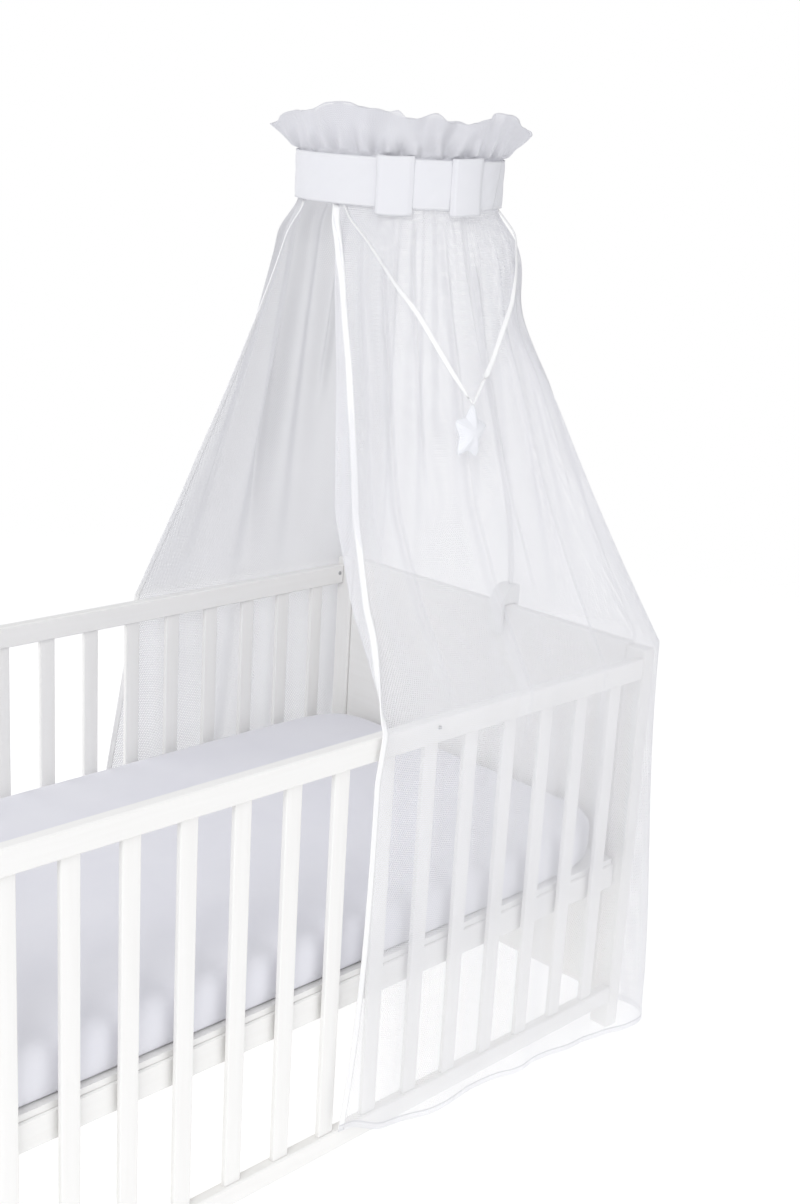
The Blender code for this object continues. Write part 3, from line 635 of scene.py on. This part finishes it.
def ribbon(name, route, mat):
    """Flat woven tape from the band's lower edge to the star, turning on itself."""
    a = route["start"]
    r = BAND_R + RIBBON_PROUD
    first = tilt((HEAD_X + HOOP_X + r * math.cos(a), HOOP_Y + r * math.sin(a), BAND_LOW - RIBBON_DROP))
    right, up, face, centre = star_axes()
    side = -1.0 if name.startswith("ribbon_left") else 1.0
    last = centre + up * (STAR_R - RIBBON_GRIP) + right * side * RIBBON_APART
    between = [np.array([HEAD_X + x, y, RAIL_Z + z]) for x, y, z in zip(route["x"], route["y"], route["z"])]
    pts = np.array([first] + between + [last])
    share = np.arange(len(pts))
    fine = np.linspace(0, len(pts) - 1, RIBBON_STEPS)
    path = np.stack([np.interp(fine, share, pts[:, k]) for k in range(3)], axis=1)
    twist = np.interp(fine, share, route["twist"])
    ease(path, 24)
    ease(twist, 24)
    front = np.array(FRONT)
    rows = []
    for k, p in enumerate(path):
        along = path[min(k + 1, len(path) - 1)] - path[max(k - 1, 0)]
        along /= np.linalg.norm(along)
        out = front - along * (front @ along)
        out /= np.linalg.norm(out)
        flat = np.cross(along, out)
        across = flat * math.cos(twist[k]) + out * math.sin(twist[k])
        meet = smooth((k - RIBBON_MEET[0]) / RIBBON_MEET[1])
        across = across * (1.0 - meet) + face * meet * math.copysign(1.0, across @ face)
        across /= np.linalg.norm(across)
        cup = np.cross(along, across)
        width = RIBBON_W * (1.0 - RIBBON_LOST * smooth((k - RIBBON_TAPER[0]) / RIBBON_TAPER[1]))
        rows.append([p + across * width * t + cup * RIBBON_CUP * math.cos(math.pi * t)
                     for t in (-0.5, -0.25, 0.0, 0.25, 0.5)])
    obj = doubled(name, np.array(rows), RIBBON_T, mat)
    stand_in(obj, "tape_cloth", name)
    length = float(np.linalg.norm(np.diff(path, axis=0), axis=1).sum())
    return obj, first, length, path[::3]


# Net
def wrap(u, out, back_end, front_end):
    """Rounded outline round the head end, out metres outside it, with its outward normal."""
    rc = CORNER_R + out
    yo = WIDTH / 2 + out
    k = min(int(np.searchsorted(CORNERS, u, side="right")) - 1, 4)
    t = (u - CORNERS[k]) / (CORNERS[k + 1] - CORNERS[k])
    if k in (1, 3):
        g = t * math.pi / 2
        n = np.array([math.sin(g), math.cos(g)]) if k == 1 else np.array([math.cos(g), -math.sin(g)])
        centre = np.array([out - rc, (yo - rc) if k == 1 else (rc - yo)])
        return centre + rc * n, n
    if k == 0:
        return np.array([back_end + t * (out - rc - back_end), yo]), np.array([0.0, 1.0])
    if k == 2:
        y = (yo - rc) * (1.0 - 2.0 * t)
        return np.array([out + CLAMP_BULGE * bump(y, HOOP_Y, 0.10), y]), np.array([1.0, 0.0])
    return np.array([out - rc + t * (front_end - out + rc), -yo]), np.array([0.0, -1.0])


def pleats(u, level):
    """Uneven soft folds, 0 to 1, running down the net."""
    a = 2 * math.pi * (16.0 * u + 0.30 * math.sin(11.0 * u + 0.6) + 0.16 * math.sin(29.0 * u + 2.0))
    b = 2 * math.pi * (7.3 * u + 0.25 * math.sin(8.0 * u) + 0.1 * level)
    f = 0.5 + 0.36 * math.sin(a + 0.5 * math.sin(2.4 * level + 5 * u)) + 0.14 * math.sin(b)
    return f * f * (1.6 - 0.6 * f)


def creases(u, level):
    """Narrow ridges and the fine gathers under the band, in metres."""
    total = 0.0
    for top, low, begin, end, height, width in zip(*CREASES.values()):
        share = (level - begin) / (end - begin)
        if 0.0 < share < 1.0:
            at = top + (low - top) * share
            fade = smooth(share / 0.12) * smooth((1.0 - share) / 0.35)
            total += 0.0013 * height * fade * bump(u, at, 0.001 * width * (0.8 + 0.6 * share))
    uneven = 0.6 + 0.4 * math.sin(41.0 * u)
    gather = math.sin(2 * math.pi * 58.0 * u + 2.0 * math.sin(17.0 * u)) * uneven
    total += 0.0012 * gather * smooth(level / 0.03) * (1.0 - smooth(level / 0.32))
    ripple = math.sin(2 * math.pi * 33.0 * u + 3.0 * math.sin(9.0 * u + level))
    return total + 0.0009 * ripple * smooth(level / 0.2) * (0.5 + 0.5 * math.sin(13.0 * u + 3.0 * level))


def fold_depth(u, level):
    """Fold depth from the band (level 0) over the rail (level 1) to the hem (level 2)."""
    depth = soft_curve(level, FOLD["level"], FOLD["depth"])
    return FOLD_GAIN * depth * (0.75 + 0.35 * math.sin(5.0 * u + 1.0))


def curl(level, column):
    return soft_curve(level, CURL["level"], CURL[column])


def edge_shift(level):
    """Along-path offset of the last full column from the tape's line."""
    turned = curl(level, "turned")
    back = curl(level, "back")
    lean = curl(level, "lean")
    return lean + turned * (back - TAPE_W / 2) - (1.0 - turned) * (TURN + back - TAPE_W / 2)


def net_point(u, level):
    """Middle surface of the net at path share u, with its outward normal in plan."""
    s = min(level, 1.0)
    drop = max(level - 1.0, 0.0)
    flare = soft_curve(u, HEM["along"], HEM["flare"])
    out = NET_AIR + flare * smooth(drop / 0.9) * (0.6 + 0.4 * drop)
    back_end = BACK_END - BACK_SWING * drop
    front_end = FRONT_END - FRONT_SWING * drop * drop - edge_shift(level)
    rail, normal = wrap(u, out, back_end, front_end)
    phi = np.interp(u, SPREAD["along"], SPREAD["angle"])
    phi -= max(u - FRONT_CORNER, 0.0) / FRONT_SHARE * edge_shift(s) / EDGE_R * (1.0 - s)
    radial = np.array([math.cos(phi), math.sin(phi)])
    straight = bump(phi, 0.0, 0.42)
    w = (1.0 - straight) * s ** FALL + straight * s ** FALL_HEAD
    w -= WAIST * bump(s, 0.25, 0.11) * bump(phi, math.radians(-50), 0.42)
    swell = 0.009 * smooth((s - 0.015) / 0.08)
    swell += 0.010 * bump(s, 0.13, 0.07) * bump(phi, math.radians(-48), 0.5)
    ring = np.array([HOOP_X, HOOP_Y]) + (NET_TOP_R + swell) * radial
    p = ring * (1.0 - w) + rail * w
    n = radial * (1.0 - w) + normal * w
    n /= np.linalg.norm(n)
    p = p + n * (fold_depth(u, level) * pleats(u, level) + creases(u, level))
    head = smooth((n[0] - 0.25) / 0.5)
    top = BAND_LOW + NET_TUCK
    cross = RAIL_Z + RAIL_LIFT + HEAD_LIFT * head
    if level <= 1.0:
        z = top + (cross - top) * s
    else:
        z = cross + (soft_curve(u, HEM["along"], HEM["height"]) - cross) * drop
    return np.array([HEAD_X + p[0], p[1], z]), n


def edge_columns(level, base, along, normal):
    """Columns past the last full one: the turned-back layer with the tape's strip at its end."""
    turned = curl(level, "turned")
    flat = max(curl(level, "back") - TAPE_W, FLAT_LEAST)
    bend, plain, tape = EDGE_STEPS
    steps = [TURN / bend] * bend + [flat / plain] * plain + [TAPE_W / tape] * tape
    pos = base.copy()
    cols = []
    for k, step in enumerate(steps):
        mid = math.pi * turned * (min(k, bend - 0.5) + 0.5) / bend
        pos = pos + step * (math.cos(mid) * along + math.sin(mid) * normal)
        cols.append(pos.copy())
    return cols


def net_grid():
    levels = np.concatenate([np.linspace(0.0, 0.10, 11)[:-1], np.linspace(0.10, 0.92, 58)[:-1],
                             np.linspace(0.92, 1.12, 21)[:-1], np.linspace(1.12, 2.0, 56)])
    us = np.linspace(0.0, 1.0, COLUMNS)
    extra = [CORNERS[k] + (CORNERS[k + 1] - CORNERS[k]) * t
             for k in (1, 3) for t in np.linspace(0.0, 1.0, 7)]
    apart = 0.0006
    us = np.sort(np.array([u for u in us if min(abs(u - v) for v in extra) > apart] + extra))
    rows = []
    for level in levels:
        pts = [net_point(u, level)[0] for u in us]
        base, normal = net_point(1.0, level)
        along = base - pts[-2]
        along[2] = 0.0
        along /= np.linalg.norm(along)
        side = np.array([normal[0], normal[1], 0.0])
        side -= along * (side @ along)
        side /= np.linalg.norm(side)
        row = np.array(pts + edge_columns(level, base, along, side))
        if level < 1.0:
            row = row * level + tilt(row) * (1.0 - level)
        rows.append(row)
    return np.array(rows)


def facing_front(strip):
    """Turns the tape to the front just under the band, where the cloth has not folded back yet."""
    centre = strip.mean(axis=1)
    across = np.cross(np.gradient(centre, axis=0), np.array(FRONT))
    across /= np.linalg.norm(across, axis=1, keepdims=True)
    level = (centre[0, 2] - centre[:, 2]) / (BAND_LOW - RAIL_Z)
    turned = np.sum(across * (strip[:, -1] - strip[:, 0]), axis=1)[np.abs(level - 2 * TAPE_TURNS) < 0.06]
    across *= math.copysign(TAPE_W * TAPE_WIDER, turned.sum())
    flat = centre[:, None] + across[:, None] * np.linspace(-0.5, 0.5, 5)[None, :, None]
    share = (1.0 - smooth((level - TAPE_TURNS) / TAPE_TURNS))[:, None, None]
    return flat * share + strip * (1.0 - share)


def net(mat, tape_mat):
    g = net_grid()
    n = grid_normals(g)
    down = g[-1] - g[-2]
    down /= np.linalg.norm(down, axis=1, keepdims=True)
    hem = [g[-1] + n[-1] * 0.0006 + down * 0.0003]
    for k in range(1, 8):
        hem.append(g[-1] + n[-1] * HEM_PROUD - down * HEM_H * k / 7)
    full = np.concatenate([g, np.array(hem)])
    dense_and_shade = np.zeros(full.shape[:2])
    # Painted shade: closer, greyer threads on the deep side of the opening, fading out past DEEP_FROM
    shade = DEEP_SIDE_SHADE * (1.0 - smooth((np.linspace(0.0, 1.0, full.shape[1]) - DEEP_FROM) / DEEP_OVER))
    # Fold sides: closer threads where the cloth turns, greyed as painted shade
    dense_and_shade[:len(g)] = shade + FOLD_DENSE_AND_SHADE * slanted(n, FOLD_REACH)
    dense_and_shade[:TOP_ROWS] += np.linspace(*TOP_DENSE, TOP_ROWS)[:, None]
    dense_and_shade[-2:] = HEM_DENSE
    obj = cloth("net_cloth", full, mat, dense_and_shade)
    stand_in(obj, "net_cloth", "net")
    wide = EDGE_STEPS[2] + 1
    for name, cols in (("tape_front", slice(-wide, None)), ("tape_back", slice(0, wide))):
        strip = g[1:, cols]
        if name == "tape_back":
            first = strip[:, 0]
            across = strip[:, -1] - first
            across /= np.linalg.norm(across, axis=1, keepdims=True)
            strip = first[:, None] + across[:, None] * np.linspace(0.0, TAPE_W, wide)[None, :, None]
        else:
            strip = facing_front(strip)
        tape = doubled(name + "_cloth", strip, TAPE_T, tape_mat)
        stand_in(tape, "tape_cloth", name)


# Band and frill
def ring_grid(angles, rows):
    """Rows of (radius function, height function, turn function) swept round the hoop's axis."""
    g = []
    for radius, height, turned in rows:
        at = [(radius(a), turned(a), height(a)) for a in angles]
        g.append([(HEAD_X + HOOP_X + r * math.cos(t), HOOP_Y + r * math.sin(t), z) for r, t, z in at])
    return tilt(np.array(g))


def band(mat, thread_mat):
    start = SEAM - LAP
    end = SEAM + 2 * math.pi
    angles = np.linspace(end, start, 420)

    def radius(a):
        lap = smooth((a - end + LAP + LAP_CLIMB) / LAP_CLIMB)
        swell = 0.0008 * math.sin(3 * a) + 0.0005 * math.sin(7 * a + 1)
        return BAND_R + BAND_T / 2 + BAND_EASE + swell * (1 - lap) + (BAND_T + LAP_AIR + BAND_EASE) * lap

    def wavy(a, s):
        seam = 0.0006 * (bump(s, 0.055, 0.02) + bump(s, 0.945, 0.02))
        return radius(a) - seam + 0.0005 * math.sin(23 * a + 5 * s) * math.sin(9 * s)

    def slant(a, s):
        return a - LAP_SLANT * s * smooth((a - end + LAP_TURN) / LAP_TURN)

    rows = [(partial(wavy, s=s), lambda a, s=s: BAND_HIGH + (BAND_LOW - BAND_HIGH) * s, partial(slant, s=s))
            for s in np.linspace(0.0, 1.0, 25)]
    g = ring_grid(angles, rows)
    body = doubled("band_cloth", g, BAND_T, mat)
    stand_in(body, "band_cloth", "band")
    n = grid_normals(g)
    for k, row in enumerate((1, -2), start=1):
        line = stitches(f"band_stitches_{k}", g[row] + n[row] * (BAND_T / 2 + 0.0001), n[row], thread_mat)
        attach(line, "root")
    for k, (a0, a1) in enumerate(LOOP_SPANS, start=1):
        spans = np.linspace(a1, a0, 40)

        def radius_loop(a, a0=a0, a1=a1):
            t = (a - a0) / (a1 - a0)
            proud = LOOP_PROUD * smooth(t / 0.10) * (1.0 - 0.55 * t) * smooth((1 - t) / 0.16)
            return radius(a + 2 * math.pi) + BAND_T / 2 + LOOP_AIR + proud

        top = BAND_HIGH + LOOP_OVER
        bottom = BAND_LOW - LOOP_UNDER + 0.002 * k
        rows = []
        for s in np.linspace(0.0, 1.0, 22):
            inward = LOOP_AIR * math.sin(math.pi * s)
            rows.append((lambda a, inward=inward: radius_loop(a) - inward,
                         lambda a, s=s: top + (bottom - top) * s + 0.0009 * math.sin(11 * a),
                         lambda a: a))
        loop = doubled(f"loop_{k}_cloth", ring_grid(spans, rows), LOOP_T, mat)
        stand_in(loop, "band_cloth", f"band_loop_{k}")


def around(a, column):
    """Value of the frill's table at angle a, in radians, with its corners a little rounded."""
    near = math.degrees(a) + np.array((-2.4, -1.2, 0.0, 1.2, 2.4))
    values = np.interp(near, FRILL["angle"], FRILL[column], period=360)
    return float(values @ np.array((0.1, 0.2, 0.4, 0.2, 0.1)))


def frill(mat):
    """Gathered frill: tight pleats at its foot inside the band, uneven lobes along its top edge."""
    angles = np.linspace(2 * math.pi, 0.0, 900, endpoint=False)
    reach = {a: around(a, "reach") - FRILL_FOOT_R for a in angles}
    rise = {a: around(a, "rise") for a in angles}
    rows = []
    for share in np.concatenate([np.linspace(1.0, 0.3, 16)[:-1], np.linspace(0.3, 0.0, 12), [-0.5, -1.0]]):
        def radius(a, s=share):
            up = max(s, 0.0)
            gather = 0.0009 + 0.0052 * smooth(up / 0.12) * (1.0 - smooth(up / 0.75))
            fine = gather * math.sin(30 * a + 0.6 * math.sin(4 * a))
            pinch = 0.0013 * math.sin(63 * a + 3 * math.sin(5 * a))
            fine += pinch * smooth(up / 0.08) * (1.0 - smooth(up / 0.5))
            fine += 0.0030 * math.sin(17 * a + 2 * math.sin(3 * a) - 2.5 * up) * smooth(up / 0.5)
            return FRILL_FOOT_R + fine + reach[a] * up ** 0.9

        def height(a, s=share):
            if s < 0.0:
                return BAND_HIGH + FRILL_FOOT + FRILL_TUCK * s
            return BAND_HIGH + FRILL_FOOT + (rise[a] - FRILL_FOOT + 0.0012 * math.sin(29 * a) * s) * s

        rows.append((radius, height, lambda a: a))
    g = ring_grid(angles, rows)
    # Frill fold sides: closer threads where the cloth turns, greyed as painted shade
    thick = FRILL_DENSE + FOLD_DENSE_AND_SHADE * slanted(grid_normals(g, True), FRILL_REACH, True)
    obj = doubled("frill_cloth", g, FRILL_T, mat, closed=True, dense_and_shade=thick)
    stand_in(obj, "frill_cloth", "frill")


# Padded pieces
def star(mat):
    """Stuffed star: full in the middle, thin towards its points, with a sewn edge and small puckers."""
    right, up, face, centre = star_axes()
    count = 200
    outline = []
    for k in range(count):
        a = 2 * math.pi * k / count
        d = abs((a / (2 * math.pi / 5) + 0.5) % 1.0 - 0.5) * 2.0
        edge = STAR_R * STAR_IN_R * math.sin(math.pi / 5)
        edge /= STAR_R * math.sin(math.pi / 5 * d) + STAR_IN_R * math.sin(math.pi / 5 * (1.0 - d))
        outline.append((a, edge - STAR_BLUNT * bump(d, 0.0, 0.12)))
    rim = np.array([(r * math.sin(a), r * math.cos(a)) for a, r in outline])
    inset = np.array([[np.linalg.norm(rim - p * scale, axis=1).min() for p in rim] for scale in STAR_RINGS])
    crown = np.sin(np.minimum(inset / STAR_SLOPE, 1.0) * math.pi / 2) ** 0.8
    for _ in range(14):
        crown[1:] = (0.25 * np.roll(crown, 1, axis=1) + 0.5 * crown + 0.25 * np.roll(crown, -1, axis=1))[1:]
    verts = []
    for sign in (1, -1):
        for j, scale in enumerate(STAR_RINGS):
            for k, (a, _) in enumerate(outline):
                here = rim[k] * scale
                pucker = 0.0006 * math.sin(44 * a + sign) * bump(inset[j, k], 0.0035, 0.002)
                height = max(STAR_T / 2 * crown[j, k] + pucker, 0.0006)
                verts.append(centre + right * here[0] + up * here[1] + face * sign * height)
    top = len(verts)
    verts += [centre + face * STAR_T / 2, centre - face * STAR_T / 2]
    rings = len(STAR_RINGS)
    back = rings * count
    faces = []
    for k in range(count):
        m = (k + 1) % count
        for ring in range(rings - 1):
            a, b = ring * count + k, ring * count + m
            faces.append((a, a + count, b + count, b))
            faces.append((back + a, back + b, back + b + count, back + a + count))
        a, b = (rings - 1) * count + k, (rings - 1) * count + m
        faces.append((a, top, b))
        faces.append((back + a, back + b, top + 1))
        faces.append((k, m, back + m, back + k))
    obj = from_faces("star_cloth", verts, faces, mat)
    points = np.array(verts)[[v for f in faces for v in f]] - centre
    lay_map(obj, np.stack([points @ right, points @ up], axis=1))
    stand_in(obj, "star_cloth", "star")
    return obj


def mattress(mat):
    """Covered foam block with a crowned top, soft corners and a drawn-in edge."""
    x0, x1 = -LENGTH + POST_X + MATTRESS_AIR, -POST_X - MATTRESS_AIR
    hx, hy = (x1 - x0) / 2, WIDTH / 2 - RAIL_D - MATTRESS_AIR
    cx = (x0 + x1) / 2
    count = 280
    verts = []
    for z, inset in MATTRESS_SIDE:
        for k in range(count):
            a = 2 * math.pi * (k + 0.5) / count
            ca, sa = math.cos(a), math.sin(a)
            r = (abs(ca) ** SQUARE + abs(sa) ** SQUARE) ** (-1 / SQUARE)
            pull = inset + 0.0012 * math.sin(37 * a) * bump(z, 0.045, 0.03)
            verts.append((HEAD_X + cx + r * ca * (hx - pull), r * sa * (hy - pull), MATTRESS_Z + z))
    for share in MATTRESS_TOP:
        for x, y, z in verts[(len(MATTRESS_SIDE) - 1) * count:len(MATTRESS_SIDE) * count]:
            x, y = (x - HEAD_X - cx) * share, y * share
            crown = MATTRESS_CROWN * (1.0 - share ** 2)
            dent = 0.0006 * math.sin(9 * x + 4 * y) * math.sin(11 * y - 3 * x)
            verts.append((HEAD_X + cx + x, y, z + crown + dent))
    rings = len(MATTRESS_SIDE) + len(MATTRESS_TOP)
    faces = quads(rings, count, True)
    faces.append(tuple(range(count))[::-1])
    faces.append(tuple((rings - 1) * count + k for k in range(count)))
    obj = from_faces("mattress_cover", verts, faces, mat)
    corners = np.array(verts)[[v for f in faces for v in f]]
    lay_map(obj, corners[:, :2] + corners[:, 2:])
    stand_in(obj, "mattress_cover", "mattress")


# Crib
def slats(side, tag, mat):
    """The slats of one side with softly rounded edges."""
    mid = side * (WIDTH / 2 - RAIL_D / 2)
    bm = bmesh.new()
    z0, z1 = LOW_RAIL_TOP + GAP, RAIL_Z - RAIL_H - GAP
    for k in range(SLATS):
        x = HEAD_X - (FIRST_SLAT + k * PITCH)
        for v in bmesh.ops.create_cube(bm, size=1.0)["verts"]:
            v.co = Vector((x + v.co.x * SLAT_W, mid + v.co.y * SLAT_D, (z0 + z1) / 2 + v.co.z * (z1 - z0)))
    upright = [e for e in bm.edges if abs(e.verts[0].co.z - e.verts[1].co.z) > 0.1]
    bmesh.ops.bevel(bm, geom=upright, offset=SLAT_ROUND, segments=4, affect="EDGES", profile=0.5)
    mesh = bpy.data.meshes.new(f"slats_{tag}")
    bm.to_mesh(mesh)
    bm.free()
    obj = link(f"slats_{tag}", mesh, mat)
    mesh.set_sharp_from_angle(angle=math.radians(50))
    stand_in(obj, "crib_paint", *[f"slat_{tag}_{k:02d}" for k in range(1, SLATS + 1)])


def fixings(mat):
    """Small screw heads, each with a round socket: inside the back rail and outside the front one."""
    count = 24
    turns = [2 * math.pi * j / count for j in range(count)]
    for k, (x, y, z) in enumerate(FIXINGS, start=1):
        verts = [(x + r * math.cos(t), y - h, z + r * math.sin(t)) for r, h in FIXING_PROFILE for t in turns]
        faces = quads(len(FIXING_PROFILE), count, True)
        faces.append(tuple((len(FIXING_PROFILE) - 1) * count + j for j in range(count)))
        obj = from_faces(f"fixing_{k}", verts, faces, mat)
        obj.data.set_sharp_from_angle(angle=math.radians(40))
        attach(obj, "root")


def refinish(mat, *names):
    """Gives CAD nodes that keep their shape a finished material."""
    for name in names:
        obj = bpy.data.objects[name]
        for k in range(len(obj.material_slots)):
            obj.material_slots[k].material = mat


def crib():
    long = lacquer("paint_long", 0)
    upright = lacquer("paint_upright", 2)
    cross = lacquer("paint_cross", 1)
    slats(-1, "front", upright)
    slats(1, "back", upright)
    refinish(long, "rail_front_top", "rail_front_low", "rail_back_top", "rail_back_low",
             "base_rail_front", "base_rail_back", "base_board")
    refinish(upright, "post_head_front", "post_head_back", "post_foot_front", "post_foot_back")
    refinish(cross, "head_panel", "foot_panel")
    fixings(plastic("screw_steel", (0.50, 0.50, 0.51), 0.32, 0.9))
    refinish(plastic("clamp_plastic", (0.86, 0.86, 0.85), 0.35), "holder_clamp")
    refinish(plastic("coated_wire", (0.90, 0.90, 0.90), 0.35), "holder_pole", "holder_hoop")


# Stage
def floor():
    """Round pale ground that fades into the background."""
    mat, tree, shader = material("floor")
    body = own_place(tree)
    far = node(tree, "VectorMath", body, operation="LENGTH").outputs["Value"]
    share = spread(tree, far, FLOOR_FADE, FLOOR_R, 1.0, 0.0, "SMOOTHSTEP")
    colour = tinted(tree, (0.60, 0.60, 0.60), (0.59, 0.59, 0.59), 3.0, coords=body)
    fill_in(tree, shader, {"Base Color": colour, "Roughness": 0.9, "Specular IOR Level": 0.1,
                           "Emission Color": (1.0, 1.0, 1.0, 1.0), "Emission Strength": FLOOR_GLOW})
    finished(tree, node(tree, "MixShader", share, clear(tree), shader.outputs[0]))
    count = 96
    turns = [2 * math.pi * k / count for k in range(count)]
    ring = [(FLOOR_R * math.cos(t), FLOOR_R * math.sin(t), FLOOR_Z) for t in turns]
    from_faces("floor", ring, [tuple(range(count))], mat)


def studio():
    """Soft light from all sides, behind a ground that the camera sees as white."""
    world = bpy.data.worlds.new("studio")
    world.use_nodes = True
    tree = world.node_tree
    soft = tree.nodes["Background"]
    put(tree, soft.inputs[0], (0.97, 0.975, 1.0, 1.0))
    put(tree, soft.inputs[1], WORLD)
    paper = node(tree, "Background", (1.0, 1.0, 1.0, 1.0))
    seen = node(tree, "LightPath").outputs["Is Camera Ray"]
    mix = node(tree, "MixShader", seen, soft.outputs[0], paper.outputs[0])
    put(tree, tree.nodes["World Output"].inputs[0], mix.outputs[0])
    bpy.context.scene.world = world
    bpy.context.scene.view_settings.view_transform = "Standard"


def lamps():
    for name, at, size, power in LAMPS:
        data = bpy.data.lights.new(name, "AREA")
        data.size = size
        data.energy = power
        lamp = bpy.data.objects.new(name, data)
        lamp.location = at
        lamp.rotation_euler = (Vector(LAMP_AIM) - Vector(at)).to_track_quat("-Z", "Y").to_euler()
        bpy.context.scene.collection.objects.link(lamp)


camera()
tape = cotton("tape_cotton", (0.95, 0.95, 0.95), (0.93, 0.93, 0.935), thread=0.0005)
left, left_exit, left_long, left_path = ribbon("ribbon_left", RIBBON_LEFT, tape)
right, right_exit, right_long, right_path = ribbon("ribbon_right", RIBBON_RIGHT, tape)
soft = cotton("star_cotton", (0.855, 0.865, 0.90), (0.835, 0.845, 0.88), thread=0.0008, sheen=0.3)
stuffed = star(soft)
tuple(left_exit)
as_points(left_path)
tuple(right_exit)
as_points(right_path)
net(net_material("net_yarn", *NET_YARN), tape)
white = cotton("band_cotton", (0.765, 0.767, 0.795), (0.75, 0.753, 0.785), thread=0.0007)
thread = cotton("sewing_thread", (0.90, 0.90, 0.90), (0.84, 0.84, 0.85), thread=0.0004)
band(white, thread)
frill(net_material("frill_yarn", *FRILL_YARN))
mattress(cotton("cover_cotton", (0.80, 0.80, 0.845), (0.78, 0.78, 0.83), thread=0.0009))
crib()
floor()
studio()
lamps()
